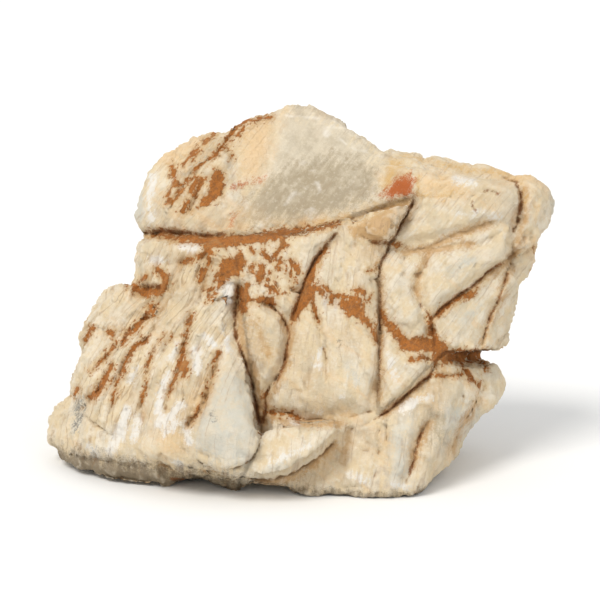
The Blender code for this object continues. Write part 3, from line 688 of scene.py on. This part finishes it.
# where each tint lies: a line's width and the squares it passes, or 0 and the outline of an area
tints = {"front": {
    "soil": [
        # cap end
        (5, [172,166, 174,176, 176,185]), (2.4, [171,188, 169,196, 167,203]),
        (4, [198,148, 190,157, 184,164]), (2.6, [215,133, 204,142]), (4, [243,129, 238,135]),
        (4.4, [236,125, 229,138, 220,149, 212,157]), (1.8, [210,159, 194,169, 188,179, 181,190, 172,204]),
        (4.4, [197,177, 193,185, 190,192]), (3.4, [202,179, 198,190, 195,197]),
        (4.4, [188,201, 185,207, 182,213]), (2.2, [190,208, 188,210]),
        (3.6, [233,127, 245,122, 260,118, 270,117]), (3, [228,148, 230,150]), (2, [232,157, 234,158]),
        # shelf under the cap
        (4, [160,231, 176,234, 200,237, 212,237]), (9, [212,241, 230,240, 250,239, 270,236]),
        (6, [268,236, 285,233, 304,229]), (2.6, [300,231, 322,226, 340,222]), (7, [180,239, 190,239]),
        (8, [206,246, 214,244]), (5, [208,249, 200,256, 190,260, 182,262]),
        # upper body
        (4, [211,254, 208,265]), (5, [203,271, 200,280]), (9, [222,272, 230,266, 240,258]),
        (10, [240,262, 236,272]), (5, [226,276, 216,286, 208,292]), (3, [250,248, 254,252]),
        (4, [262,250, 270,261]), (6, [262,268, 259,281]), (4, [270,272, 271,278]),
        (4, [287,245, 278,249, 274,258]), (2.4, [290,259, 292,268, 291,280]), (5, [296,264, 298,272]),
        (4, [272,287, 278,294]), (4, [247,286, 246,296]), (3, [284,262, 285,272]),
        (7, [241,290, 242,303, 244,310]), (7, [246,300, 262,300, 273,302]), (3, [266,282, 270,290]),
        (3.4, [291,290, 294,282]), (4, [280,262, 276,270]), (3, [214,294, 206,302]),
        (2.6, [256,262, 252,270]),
        # left pocket
        (9, [136,288, 146,292, 160,290]), (7, [158,270, 164,276, 166,283]), (3, [140,282, 146,276]),
        (2, [128,287, 127,282]),
        # the fan
        (4, [152,305, 147,315, 141,321]), (6, [138,325, 126,335]), (5, [126,334, 122,343]),
        (5, [154,307, 155,314]), (3.8, [147,339, 136,347, 131,352, 126,361]), (4, [111,332, 112,334]),
        (3, [117,341, 108,353]), (2.2, [106,355, 99,364, 90,371]), (4, [124,367, 121,374]),
        (2.6, [119,380, 116,388, 113,400]), (6, [112,367, 106,378, 100,388, 92,397]),
        (2.2, [154,348, 150,359, 148,368]), (1.4, [147,370, 145,385, 142,402]),
        (2.2, [191,315, 188,329, 185,340]), (4.4, [185,343, 182,356, 179,368]),
        (2.4, [177,372, 172,384, 168,397]), (5, [181,366, 186,369, 184,375]), (3, [188,364, 184,370]),
        (3.4, [218,353, 215,362, 213,369]), (2.2, [212,374, 206,390, 203,402]),
        (1.6, [200,405, 194,416, 188,424]), (3, [92,328, 90,333, 86,340]), (2.6, [78,388, 74,395]),
        (3, [172,336, 168,341]), (2.4, [165,335, 160,341]),
        # middle crack and the patch right of it
        (4, [326,248, 318,260, 311,272, 305,284]), (7, [311,276, 306,290, 300,304, 296,316]),
        (6, [304,288, 316,288, 322,292]), (3, [310,300, 315,312, 319,321]),
        (6, [336,296, 352,298, 362,303]), (11, [346,304, 358,310]), (5, [346,311, 356,317, 362,318]),
        (3.4, [353,291, 364,292, 370,296, 366,300]), (4, [362,317, 370,326, 376,338]),
        (3, [332,303, 328,296]), (3, [373,330, 378,342]), (2.4, [322,286, 330,292, 334,302]),
        # beside the long crack and into the notch
        (4, [381,312, 384,318, 390,325]), (7, [388,323, 398,334, 406,342]),
        (11, [404,344, 418,344, 430,342]), (3.4, [429,316, 431,328]), (7, [432,334, 436,341, 444,347]),
        (4, [401,336, 401,348]), (4, [441,344, 446,343]), (10, [438,357, 455,357.5, 472,357, 487,356]),
        (5, [436,352, 436,364]), (3, [410,359.5, 422,358, 434,359.5]), (3, [462,364, 466,372]),
        (3.4, [466,372, 472,380, 480,386]), (3, [485,362, 486,370]), (2.6, [431,374, 447,376, 463,374]),
        # diagonal groove of the right panel
        (4, [472,294, 460,298, 448,306, 438,314]), (2.6, [476,292, 468,297]), (2.4, [390,244, 401,246]),
        (2, [367,272, 376,268]),
        # top of the lower plate
        (2.4, [264,398, 268,394]), (2.6, [266,412, 276,413, 290,414]), (3, [290,414, 301,421]),
        # whole areas
        (0, [214,168, 223,172, 224,186, 222,196, 212,204, 200,207, 200,200, 209,194, 210,180]),
        (0, [222,262, 240,254, 243,262, 236,274, 222,282, 212,284, 218,272]),
        (0, [150,232, 176,234, 206,238, 230,236, 254,234, 280,229, 320,226, 342,221, 340,225, 320,230,
            300,234, 270,241, 240,245, 214,247, 204,244, 180,240, 152,236]),
        (0, [388,320, 398,332, 406,340, 420,341, 431,337, 430,326, 436,330, 441,344, 448,350, 487,350,
            487,361, 440,363, 434,352, 410,350, 400,346, 392,334]),
        (0, [308,284, 316,288, 314,299, 301,312, 294,316, 300,298]),
        (0, [340,300, 354,299, 362,305, 364,314, 356,318, 344,311]),
        (0, [130,284, 142,288, 160,287, 166,280, 168,290, 150,297, 134,294]),
    ],
    # dark soil in the cracks, and painted shadow: the narrow cracks' dark floors, and the dark gap under
    # the stone at the base
    "darkSoilAndCrackShade": [
        (3, [147,232, 163,231, 176,232, 188,233, 200,235.5, 211,236.5]), (3.4, [217,233.5, 224,233.5]),
        (3, [148,287, 158,287]), (2, [140,282, 142,278]),
        (2.2, [238,286, 236,306, 235,324, 237,340, 243,356, 249,374, 254,396, 259,424]),
        (2, [337,233, 326,245, 317,257, 310,269, 303,284, 297,302, 292,318]),
        (2, [414,200, 403,220, 396,235, 390,242]), (1.6, [390,242, 374,242, 364,237]),
        (1.8, [389,245, 387,254, 381,263, 379.5,277, 380,302, 380,330]),
        (0.8, [380,330, 379.5,369, 378,396]),
        (2, [269,304, 279,313, 286,324, 289,336, 286.5,349, 284.5,363, 279,375, 268,391]),
        (1.8, [266,404, 265,414, 262,422]),
        (2.2, [434,352, 432,364, 431,374, 422.5,381, 410.5,391, 397,403, 386.5,412, 374,419]),
        (2.4, [429,316, 432,326, 434,338, 434,350]),
        (1.8, [430,321, 443,307.5, 455,297.5, 469,288.5, 481,278.5, 490,270.5, 503,263]),
        (2.2, [516,183, 521,194, 521,204, 519,215]), (1.6, [519,215, 518,223, 514,231]),
        (1.6, [508,273, 503,288, 496,306, 489,321, 484,338]), (1.4, [484,191, 492,191, 499,194]),
        (1.2, [472,199, 472,206, 478,213]), (1.8, [424,432, 420,436, 417,447]),
        (1.4, [417,447, 414,460, 409,476]), (1.4, [420,304, 428,314, 431,322]),
        # the second line on the next row is painted shadow, the dark gap under the stone's base
        (2, [445,352, 466,351, 486,351]), (3, [170,478, 196,482]),
    ],
    "ochre": [
        (7, [318,225, 334,222, 350,217, 366,211, 378,206]),
        (6, [340,222, 360,215, 380,208, 396,203, 410,199]),
        (6, [402,156, 425,160, 452,166, 478,170, 506,173]), (4, [504,174, 530,174, 545,179]),
        (2.6, [520,176, 523,190, 524,204]), (2.4, [538,206, 536,220]), (5, [400,160, 404,168]),
        (4, [388,172, 384,184]), (3, [418,176, 418,193]), (3, [420,195, 440,196, 458,192]),
        (0, [391,156, 403,162, 413,173, 403,178, 391,186, 383,190, 386,170]),
    ],
    "redOchre": [
        (2.6, [230,187, 240,185, 250,183, 263,178]), (2, [234,216, 232,226]),
        (0, [413,172, 414.5,196, 400,197, 378,197, 388,186, 401,176]),
    ],
    "peach": [
        (10, [238,216, 232,228]), (7, [163,440, 168,449]), (7, [198,398, 204,399]),
        (12, [500,177, 520,174, 545,184]), (4, [536,240, 530,252]),
        (0, [420,174, 440,172, 466,180, 464,194, 440,196, 420,194]),
        (0, [244,128, 262,121, 276,122, 266,160, 258,180, 242,178, 240,150]),
        (0, [150,158, 176,142, 200,134, 218,134, 196,150, 170,164]),
    ],
    "smoky": [
        (0, [250,196, 290,170, 330,160, 366,166, 380,178, 376,198, 340,212, 300,222, 252,226, 242,212]),
        (0, [430,414, 452,417, 452,434, 445,443, 430,431]),
    ],
    "stained": [
        (9, [240,290, 240,324, 243,346, 250,364, 257,384, 260,404, 263,420]),
        (7, [282,316, 291,336, 288,350, 286,366, 274,390]), (6, [266,396, 268,410]),
        (8, [402,253, 420,250, 438,244, 464,232, 490,223]), (6, [420,254, 440,249, 470,244]),
        (7, [432,320, 446,308, 470,292, 490,274, 504,264]), (6, [482,345, 490,322, 502,292, 510,268]),
        (6, [426,256, 418,276, 417,296]), (5, [380,262, 381,300, 381,350, 380,400]),
        (7, [384,415, 396,405, 412,391, 426,380]), (6, [414,462, 420,440, 430,424]),
        # the second line on this row, along the lower plate's bottom edge, is painted shade under the plate
        (6, [452,450, 462,426, 476,402]), (5, [262,484, 290,478, 312,466, 334,444]),
        (6, [268,416, 300,424, 342,424]), (6, [318,262, 304,288, 298,310]),
        (6, [526,190, 526,214, 520,236, 516,256]), (7, [146,236, 176,238, 206,240]),
        (5, [256,318, 262,338, 270,356]),
        (0, [348,227, 392,204, 411,201, 405,220, 394,238, 374,243, 352,237]),
    ],
    "quartz": [
        (0, [277,112, 300,106, 320,113, 345,126, 360,144, 380,156, 388,170, 380,196, 350,212, 320,223,
            280,226, 240,230, 246,205, 258,182, 266,160]),
        (0, [430,414, 452,417, 452,434, 445,443, 430,431]),
        (0, [392,408, 410,404, 414,420, 400,436, 388,428]),
    ],
    "chalk": [
        (7, [152,176, 149,200, 150,218]), (9, [184,246, 196,247]), (7, [150,258, 164,262]),
        (6, [218,288, 228,282]), (9, [229,285, 228,298]), (7, [206,336, 214,346]), (6, [178,344, 172,360]),
        (5, [138,366, 130,384]), (10, [126,412, 120,434, 112,450]), (8, [168,372, 162,392, 158,410]),
        (9, [160,424, 172,414, 180,404]), (7, [166,434, 176,424]), (6, [88,446, 96,456]),
        (5, [172,462, 184,464]), (6, [388,354, 392,368, 396,382]), (6, [404,408, 414,402, 428,398]),
        (5, [350,474, 366,482]), (5, [394,484, 410,490]), (5, [460,216, 480,212]), (4, [488,218, 500,216]),
        (8, [456,180, 474,184]), (4, [436,284, 446,276]), (4, [340,398, 346,392]), (4, [316,412, 324,412]),
        (3, [292,420, 298,424]), (4, [270,462, 292,454, 310,446]), (5, [320,350, 316,366]),
        (4, [350,312, 354,306]), (4, [326,296, 326,302]), (3, [336,302, 338,308]), (8, [140,420, 134,440]),
        (7, [186,426, 190,442]), (6, [196,350, 198,372]), (5, [226,330, 228,350]),
    ],
    "mark": [(6, [80,398, 79,411, 75,429]), (3, [212,412, 215,420]), (2, [338,340, 339,344])],
    # painted shade: the band where the faces turn under towards the ground, and the shadowed strip beside
    # the slab's right crack
    "paintedUnderShade": [
        (3, [402,209, 396,221, 389,233]),
        (0, [34,440, 60,447, 94,455, 140,463, 190,470, 232,476, 248,486, 256,498, 256,512, 180,512, 90,506,
            34,490]),
    ],
    "grey": [
        (5, [80,399, 78,411, 75,428]), (3, [214,412, 216,420]), (6, [254,366, 248,352]),
        (4, [262,340, 270,330]), (5, [270,468, 284,464]), (9, [470,260, 450,272]), (8, [350,370, 356,384]),
        (9, [462,320, 476,310]), (5, [290,415, 298,418]),
        (0, [222,376, 241,376, 251,392, 257,430, 248,455, 236,464, 212,460, 196,446, 196,426, 208,402]),
        (0, [128,200, 136,180, 146,160, 158,150, 150,168, 144,190, 142,222, 130,222]),
        (0, [392,426, 412,420, 406,446, 408,480, 388,484]),
        (0, [450,408, 470,402, 484,410, 466,438, 452,448]),
    ],
}, "back": {
    "soil": [
        (7, [330,262, 360,262, 392,256]), (8, [392,258, 420,248, 440,250]),
        (5, [190,262, 216,258, 236,254]), (8, [124,280, 116,300, 114,326]),
        (6, [140,372, 152,392, 170,396]), (5, [246,300, 241,340, 238,366]), (4, [312,300, 318,340]),
        (4, [262,200, 252,230]), (4, [350,272, 346,300, 340,330]), (3, [366,270, 364,296, 360,312]),
        (5, [290,262, 286,290, 282,306]), (3, [176,276, 170,300, 160,322]),
        (4, [200,270, 196,296, 188,316]), (5, [216,270, 214,300, 208,320]),
        (3, [410,262, 414,290, 410,316]), (4, [436,300, 446,330, 440,360]),
        (4, [300,150, 296,170, 290,190]), (3, [316,160, 312,184]), (5, [276,150, 270,176, 262,200]),
        (4, [400,190, 412,214, 424,226]), (3, [380,184, 390,206]), (5, [396,410, 420,413, 450,417]),
        (4, [256,424, 290,429, 320,428]), (4, [460,310, 470,340, 476,360]),
        (4, [180,330, 184,356, 196,380]), (3, [104,210, 116,232, 122,252]), (4, [150,206, 148,226]),
        (0, [336,258, 388,252, 400,258, 392,272, 360,277, 340,272]),
        (0, [206,254, 238,250, 244,262, 236,276, 212,272]),
    ],
    # dark soil and painted shadow along the back's cracks
    "darkSoilAndCrackShade": [
        (2, [100,264, 150,268, 240,252, 330,258, 420,240]), (1.8, [388,262, 398,330]),
        (1.6, [112,330, 150,392, 210,396]),
    ],
    "quartz": [
        (14, [150,410, 200,420, 236,412]),
        (0, [262,268, 300,266, 318,300, 314,350, 292,376, 262,356, 252,304]),
    ],
    "smoky": [(0, [268,296, 306,300, 306,350, 278,352])],
    "chalk": [
        (8, [96,276, 104,300]), (7, [340,340, 336,372]), (9, [352,420, 372,440]), (7, [210,410, 216,436]),
        (6, [440,210, 456,232]), (8, [156,190, 150,220]), (6, [290,400, 284,416]), (7, [470,420, 490,440]),
        (6, [420,330, 424,356]), (5, [330,180, 336,204]), (6, [200,200, 222,206]), (5, [220,330, 214,360]),
    ],
    "grey": [
        (10, [470,330, 486,366]), (0, [330,290, 372,284, 382,340, 360,384, 326,380]),
        (0, [150,180, 200,176, 226,206, 200,236, 160,230]),
    ],
    "stained": [
        (8, [250,150, 252,200, 240,250]), (8, [80,266, 150,272, 240,258]), (8, [250,262, 330,266, 420,248]),
        (7, [398,290, 398,330, 382,390]), (7, [112,330, 150,392, 210,396]),
        (6, [300,300, 316,350, 304,420]), (0, [396,300, 430,300, 436,350, 424,390, 392,392, 402,340]),
        (0, [120,430, 200,438, 220,460, 130,458]),
    ],
    "ochre": [
        (6, [300,128, 340,142, 380,158]), (5, [110,210, 150,200]),
        (0, [360,182, 400,198, 396,226, 356,214]),
    ],
    "redOchre": [(6, [330,214, 352,222])],
    "peach": [(10, [240,436, 300,446]), (0, [420,260, 470,270, 484,300, 440,300])],
}, "right": {
    "soil": [
        (5, [330,270, 334,300, 328,330]), (4, [300,276, 296,300]), (4, [370,290, 376,320]),
        (5, [350,196, 344,220]), (6, [310,364, 350,370, 384,372]),
    ],
    "chalk": [(8, [340,300, 348,326]), (7, [290,400, 300,430])],
    "grey": [(0, [300,200, 360,190, 390,230, 380,270, 320,262])],
    "quartz": [(0, [330,384, 390,380, 400,430, 344,440])],
}}
tintReach = 24.0         # squares beyond which a tint is plainly out of reach
# painted shade close to the ground, on every side
rimSquares = 10          # inside the underside's tint, all round at the ground
rimFall = 4              # fewer for each mm up
tintFrom = {"front": (0.0, 0.2), "back": (0.3, 0.2), "right": (0.3, 0.2)}    # as in facing
lightRounds = 8          # of smoothing, which shows the narrow creases
heavyRounds = 60         # which shows the wide hollows
easing = 0.6             # of the way to its neighbours that a point moves in a round
# painted like the front is what faces it, as in facing, and what faces down
paintedFront = {"facing": (0.0, 0.25), "under": (-0.1, 0.3)}
aboveGround = (3, 14)    # mm up, where the hidden sides' own marks come in


def tintField(points, normals, tint):    # squares to a tint's edge, above 0 inside it
    field = np.full(len(points), -tintReach)
    for side, drawn in tints.items():
        seen = np.flatnonzero(facing(normals, side, *tintFrom[side]) > 0)
        spots = squaresOf(points[seen], side)
        best = field[seen]
        for width, numbers in drawn.get(tint, []):
            if width:
                line = rounded(numbers)
                near = nearBox(spots, line, tintReach + width)
                inner = width / 2 - gapToLine(spots[near], line)[0]
            else:
                near, inner = gapInside(spots, numbers, tintReach)
            best[near] = np.maximum(best[near], inner)
        field[seen] = best
    return np.clip(field, -tintReach, tintReach)


def hollowness(mesh, rounds):    # mm that each point lies under the surface round it
    points, normals = meshArrays(mesh)
    ends = np.empty(len(mesh.edges) * 2, dtype=np.int64)
    mesh.edges.foreach_get("vertices", ends)
    a, b = ends.reshape(-1, 2).T
    count = np.bincount(a, minlength=len(points)) + np.bincount(b, minlength=len(points))
    soft = points.copy()
    for _ in range(rounds):
        around = [np.bincount(a, soft[b, k], len(points)) + np.bincount(b, soft[a, k], len(points))
                  for k in range(3)]
        soft += easing * (np.stack(around, axis=1) / count[:, None] - soft)
    return ((soft - points) * normals).sum(axis=1)


points, normals = meshArrays(stone.data)
for tint in tints["front"]:
    field = tintField(points, normals, tint)
    # painted shade near the ground, on every side
    if tint == "paintedUnderShade":
        field = np.maximum(field, rimSquares - rimFall * points[:, 2])
    keepField(stone.data, tint, field)
# depth of each point in a crease or hollow, which steers the painted shade, stain and soil there
keepField(stone.data, "crevice", hollowness(stone.data, lightRounds))
keepField(stone.data, "hollow", hollowness(stone.data, heavyRounds))
front = np.maximum(facing(normals, "front", *paintedFront["facing"]),
                   smoothStep(*paintedFront["under"], -normals[:, 2]))
keepField(stone.data, "front", front)
keepField(stone.data, "hidden", (1 - front) * smoothStep(*aboveGround, points[:, 2]))
print("stage: tints placed")

stoneLook = {
    "cream": (0.74, 0.60, 0.39, 1),
    "pale": (0.79, 0.70, 0.55, 1),
    "tan": (0.62, 0.45, 0.25, 1),
    "quartz": (0.55, 0.48, 0.36, 1),
    "smoky": (0.31, 0.25, 0.16, 1),
    "chalk": (0.84, 0.81, 0.75, 1),
    "grey": (0.61, 0.59, 0.51, 1),
    "shade": (0.60, 0.51, 0.36, 1),
    "peach": (0.79, 0.54, 0.28, 1),
    "ochre": (0.68, 0.43, 0.16, 1),
    "redOchre": (0.47, 0.10, 0.006, 1),
    "mark": (0.16, 0.155, 0.14, 1),
    "soil": (0.42, 0.138, 0.016, 1),
    # dark soil, and painted shadow in the narrow cracks
    "darkSoilAndCrackShade": (0.26, 0.095, 0.020, 1),
    "stained": (0.56, 0.33, 0.13, 1),
    # soil and painted shade in creases, and the fine dark lines and specks
    "crevice": (0.36, 0.21, 0.10, 1),
    # painted shade under the stone
    "paintedUnderShade": (0.22, 0.165, 0.10, 1),
}
# squares that a tint's edge is soft over and strays by, how much of it shows, and where its edge is
tintEdges = {
    "smoky": (8.0, 22.0, 1.0, -4.0),
    "quartz": (17.0, 26.0, 0.9, 0.0),
    "grey": (6.0, 18.0, 0.85, 0.0),
    "peach": (14.0, 22.0, 0.75, 0.0),
    "stained": (4.0, 12.0, 0.8, 0.0),
    "chalk": (2.6, 14.0, 0.8, 0.0),
    "ochre": (5.0, 14.0, 0.9, 0.0),
    "redOchre": (4.5, 16.0, 0.95, 1.0),
    "mark": (2.0, 12.0, 1.0, 0.0),
    "paintedUnderShade": (10.0, 26.0, 0.92, 0.0),
    "darkSoilAndCrackShade": (1.1, 5.0, 0.85, -0.3),
}
# noises of the paint: how many to a mm, detail and roughness
grains = {
    "big": (0.035, 3.0, 0.6),
    "middle": (0.14, 5.0, 0.6),
    "small": (0.55, 5.0, 0.65),
    "dabs": (0.8, 3.0, 0.6),
    "fine": (2.2, 4.0, 0.7),
    "layerStreaks": (0.25, 4.0, 0.55),
    "flowStreaks": (0.45, 5.0, 0.65),
    "peach": (0.12, 4.0, 0.6),
    "stained": (0.05, 5.0, 0.65),
    "shade": (0.11, 5.0, 0.6),
    "mottled": (0.18, 5.0, 0.7),
    "clods": (0.45, 2.0, 0.5),
    "splashes": (0.7, 2.0, 0.5),
    "lines": (1.5, 0.4),
}


# masks of the paint: where each starts and is full, and what it gives there if not 0 and 1
masks = {
    "pale": (0.38, 0.62),
    "bigTan": (0.46, 0.68, 0.0, 0.75),
    "peach": (0.54, 0.66, 0.0, 0.4),
    "stained": (0.50, 0.60, 0.0, 0.5),
    "shade": (0.48, 0.64, 0.0, 0.6),
    "smallTan": (0.50, 0.68, 0.0, 0.35),
    "chalk": (0.54, 0.70, 0.0, 0.25),
    "cloudy": (0.40, 0.66, 0.0, 0.4),
    "smoky": (0.34, 0.58, 0.45, 1.0),
    "quartzDabs": (0.54, 0.72, 0.0, 0.22),
    "quartzVeins": (0.42, 0.6, 0.0, 0.4),
    "hiddenQuartz": (0.57, 0.62, 0.0, 0.85),
    # stain and painted shade in hollows and creases, and a painted highlight on ridges
    "hollow": (0.5, 2.2, 0.0, 0.6),
    "paintedRidgeHighlight": (-0.2, -0.8, 0.0, 0.4),
    "crevice": (0.35, 1.2, 0.0, 0.65),
    "hiddenLines": (0.46, 0.60, 0.0, 0.5),
    "layerLines": (0.42, 0.60, 0.0, 0.36),
    "fibres": (0.60, 0.40, 0.0, 0.55),
    "soilRim": (-6.0, 0.8, 0.0, 0.65),
    "soil": (-0.9, 0.9, 0.0, 0.95),
    "pooledRim": (0.3, 1.4, 0.0, 0.6),
    "pooled": (1.25, 1.6),
    "nearSoil": (-6.0, -1.5, 0.0, 0.9),
    "splashes": (0.60, 0.65),
    "soilDark": (0.44, 0.66),
    "soilStreaks": (0.54, 0.68, 0.0, 0.3),
    "specks": (0.62, 0.76, 0.0, 0.3),
    "roughness": (0.3, 0.7, 0.70, 0.9),
    "quartzSmooth": (-4.0, 6.0, 1.0, 0.35),
}
# tints that show more in some places than in others: the noise that steers it, and its mask
unevenTints = {
    "grey": ("mottled", (0.40, 0.66, 1.0, 0.4)),
    "ochre": ("middle", (0.36, 0.64, 1.0, 0.45)),
    "mark": ("dabs", (0.40, 0.58, 0.8, 0.1)),
}
# fine wandering lines: how many to a mm, and how thin
fineLines = {
    "quartz": (0.04, 0.03), "hidden": (0.05, 0.012), "layers": (0.14, 0.016), "flow": (0.16, 0.022),
    "fibres": (0.30, 0.035),
}
bumpDepth = 0.9           # mm
crumbsPerMm = 1.1
stretchedLayers = 0.45    # like layerAlong, for the streaks


def paintStone(material):
    material.use_nodes = True
    tree = material.node_tree
    shader = tree.nodes["Principled BSDF"]
    by, add, largest, spread = (partial(rule, tree) for rule in (times, plus, most, centred))
    place = scaled(tree, addNode(tree, "ShaderNodeTexCoord").outputs["Object"], 1 / mm)

    def fieldOf(name, kind="Fac"):
        return addNode(tree, "ShaderNodeAttribute", {"attribute_name": name}).outputs[kind]

    def grained(name, where=place):
        return grainNoise(tree, where, *grains[name])

    def step(value, name):
        return ramp(tree, value, *masks[name])

    def lines(where, name):
        perMm, thin = fineLines[name]
        value = grainNoise(tree, where, perMm, *grains["lines"])
        return ramp(tree, sizeOf(tree, minus(tree, value, 0.5)), 0.0, thin, 1.0, 0.0)

    def laid(colour, tone, amount):
        return mixed(tree, amount, colour, stoneLook[tone])

    flow = fieldOf("flow", "Vector")
    front = fieldOf("front")
    hidden = fieldOf("hidden")
    layers = layerPlace(tree, place, layerAlong)
    layered = layerPlace(tree, place, stretchedLayers)
    big, middle, small, dabs, fine = (grained(name) for name in ("big", "middle", "small", "dabs", "fine"))
    streaks = blended(tree, front, grained("layerStreaks", layered), grained("flowStreaks", flow))
    ragged = add(spread(small), spread(fine, 0.6))
    patchy = add(spread(middle, 0.9), spread(streaks, 1.1), ragged)
    mottled = add(grained("mottled"), spread(streaks, 0.4))

    def share(name):    # how much of a tint shows, its edge broken up
        soft, stray, amount, edge = tintEdges[name]
        field = timesPlus(tree, patchy, stray, fieldOf(name))
        return ramp(tree, field, edge - soft, edge + soft, 0.0, amount)

    # bare stone
    colour = stoneLook["cream"]
    bare = (
        ("pale", step(add(middle, spread(streaks, 0.8)), "pale")),
        ("tan", step(add(big, spread(streaks, 0.5)), "bigTan")),
        ("peach", step(grained("peach", layers), "peach")),
        ("stained", by(step(grained("stained", layers), "stained"), hidden)),
        ("shade", step(grained("shade"), "shade")),
        ("tan", step(small, "smallTan")),
        ("chalk", step(dabs, "chalk")),
    )
    for tone, amount in bare:
        colour = laid(colour, tone, amount)

    # quartz, on the hidden sides in patches
    quartzTone = stoneLook["quartz"]
    cloudy = (
        ("smoky", step(mottled, "cloudy")),
        ("smoky", by(share("smoky"), step(mottled, "smoky"))),
        ("pale", step(dabs, "quartzDabs")),
        ("chalk", by(lines(place, "quartz"), step(middle, "quartzVeins"))),
    )
    for tone, amount in cloudy:
        quartzTone = laid(quartzTone, tone, amount)
    hiddenQuartz = by(step(add(big, spread(small, 0.12)), "hiddenQuartz"), hidden)
    quartz = largest(share("quartz"), hiddenQuartz)
    colour = mixed(tree, quartz, colour, quartzTone)

    # the other tints
    steering = {"mottled": mottled, "middle": middle, "dabs": dabs}
    for tint in ("grey", "peach", "stained", "chalk", "ochre", "redOchre", "mark", "paintedUnderShade"):
        amount = share(tint)
        if tint in unevenTints:
            steer, mask = unevenTints[tint]
            amount = by(amount, ramp(tree, steering[steer], *mask))
        colour = laid(colour, tint, amount)

    # stain and painted shade in the hollows and creases, ridges paler as a painted highlight, and thin dark
    # lines
    hollow = timesPlus(tree, patchy, 0.5, fieldOf("hollow"))
    creviced = fieldOf("crevice")
    wrinkles = by(by(lines(place, "hidden"), step(middle, "hiddenLines")), hidden)
    along = blended(tree, front, lines(layered, "layers"), lines(flow, "flow"))
    wrinkles = largest(wrinkles, by(along, step(middle, "layerLines")))
    fibres = by(lines(flow, "fibres"), by(fieldOf("fibrous"), front))
    wrinkles = largest(wrinkles, by(fibres, step(middle, "fibres")))
    wrinkles = by(wrinkles, minus(tree, 1.0, by(quartz, 0.8)))
    worn = (
        ("stained", step(hollow, "hollow")),
        ("pale", step(timesPlus(tree, ragged, 0.3, creviced), "paintedRidgeHighlight")),
        ("crevice", step(timesPlus(tree, ragged, 0.4, creviced), "crevice")),
        ("crevice", wrinkles),
    )
    for tone, amount in worn:
        colour = laid(colour, tone, amount)

    # soil, in crumbs with a stained rim, and pooled in the hollows of the hidden sides
    pooled = add(hollow, spread(middle, 5.0), spread(small, 2.0))
    broken = add(spread(streaks, 12.0), spread(small, 7.0), fieldOf("soil"), spread(grained("clods"), 9.0))
    soilRim = largest(step(broken, "soilRim"), by(step(pooled, "pooledRim"), hidden))
    soil = largest(step(broken, "soil"), by(step(pooled, "pooled"), hidden))
    soil = largest(soil, by(step(broken, "nearSoil"), step(grained("splashes"), "splashes")))
    soilTone = laid(stoneLook["soil"], "darkSoilAndCrackShade", step(add(small, spread(fine, 0.5)), "soilDark"))
    soilTone = laid(soilTone, "stained", step(streaks, "soilStreaks"))
    colour = laid(colour, "stained", soilRim)
    colour = mixed(tree, soil, colour, soilTone)
    # dark soil and painted shadow along the cracks
    colour = laid(colour, "darkSoilAndCrackShade", share("darkSoilAndCrackShade"))
    colour = laid(colour, "crevice", step(fine, "specks"))
    tree.links.new(colour, shader.inputs["Base Color"])

    roughness = minus(tree, step(fine, "roughness"), by(quartz, 0.22))
    tree.links.new(largest(roughness, soil), shader.inputs["Roughness"])

    height = timesPlus(tree, small, 0.8, by(fine, 0.35))
    height = timesPlus(tree, streaks, 0.9, height)
    height = by(height, step(fieldOf("quartz"), "quartzSmooth"))
    crumbs = addNode(tree, "ShaderNodeTexVoronoi", Vector=place, Scale=crumbsPerMm).outputs["Distance"]
    height = timesPlus(tree, soil, minus(tree, 0.5, by(crumbs, 0.6)), height)
    height = timesPlus(tree, wrinkles, -0.35, height)
    bump = addNode(tree, "ShaderNodeBump", Strength=1.0, Distance=bumpDepth * mm, Height=height)
    tree.links.new(bump.outputs[0], shader.inputs["Normal"])


paintStone(stonePaint)
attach(stone, "root")
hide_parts("rock")

studio = {
    "floorSize": 60.0,         # m
    "floorTone": (0.86, 0.86, 0.85, 1),
    "skyTone": (0.98, 0.99, 1.0, 1),
    "skyLight": 0.78,
    "lights": [                # azimuth, elevation, spread in degrees, strength, tone
        (-36, 52, 24, 1.9, (1.0, 0.97, 0.93)),
        (44, 35, 50, 0.3, (0.95, 0.97, 1.0)),
    ],
}

bpy.ops.mesh.primitive_plane_add(size=studio["floorSize"])
floor = bpy.context.object
floor.name = "floor"
floorPaint = bpy.data.materials.new("paleFloor")
floorPaint.use_nodes = True
floorShader = floorPaint.node_tree.nodes["Principled BSDF"]
floorShader.inputs["Base Color"].default_value = studio["floorTone"]
floorShader.inputs["Roughness"].default_value = 0.9
floor.data.materials.append(floorPaint)

sky = bpy.data.worlds.new("softSky")
sky.use_nodes = True
sky.node_tree.nodes["Background"].inputs["Color"].default_value = studio["skyTone"]
sky.node_tree.nodes["Background"].inputs["Strength"].default_value = studio["skyLight"]
bpy.context.scene.world = sky

viewMiddle = Vector(drawing["viewMiddle"]) * mm


def placed(name, data, angles, distance):    # an object that looks at the middle of the view
    right, up, away = viewAxes(*angles)
    item = bpy.data.objects.new(name, data)
    turned = Matrix((right, up, -away)).transposed().to_4x4()
    item.matrix_world = Matrix.Translation(viewMiddle - away * distance) @ turned
    bpy.context.scene.collection.objects.link(item)
    return item


for azimuth, elevation, spread, strength, tone in studio["lights"]:
    lamp = bpy.data.lights.new("softbox", "SUN")
    lamp.angle = math.radians(spread)
    lamp.energy = strength
    lamp.color = tone
    placed("softbox", lamp, (azimuth, elevation), 1)

# camera at the drawing's own viewpoint
frameSize = 600    # pixels
sensor = 36.0      # mm
camera = bpy.data.cameras.new("camera")
camera.sensor_width = sensor
camera.lens = sensor * drawing["distance"] / (frameSize * drawing["square"])
camera.shift_x = -(drawing["gridMiddle"][0] - frameSize / 2) / frameSize
camera.shift_y = (drawing["gridMiddle"][1] - frameSize / 2) / frameSize
eye = placed("camera", camera, drawing["sides"]["front"], drawing["distance"] * mm)
bpy.context.scene.camera = eye
bpy.context.scene.view_settings.view_transform = "Standard"
print("stage: studio set")
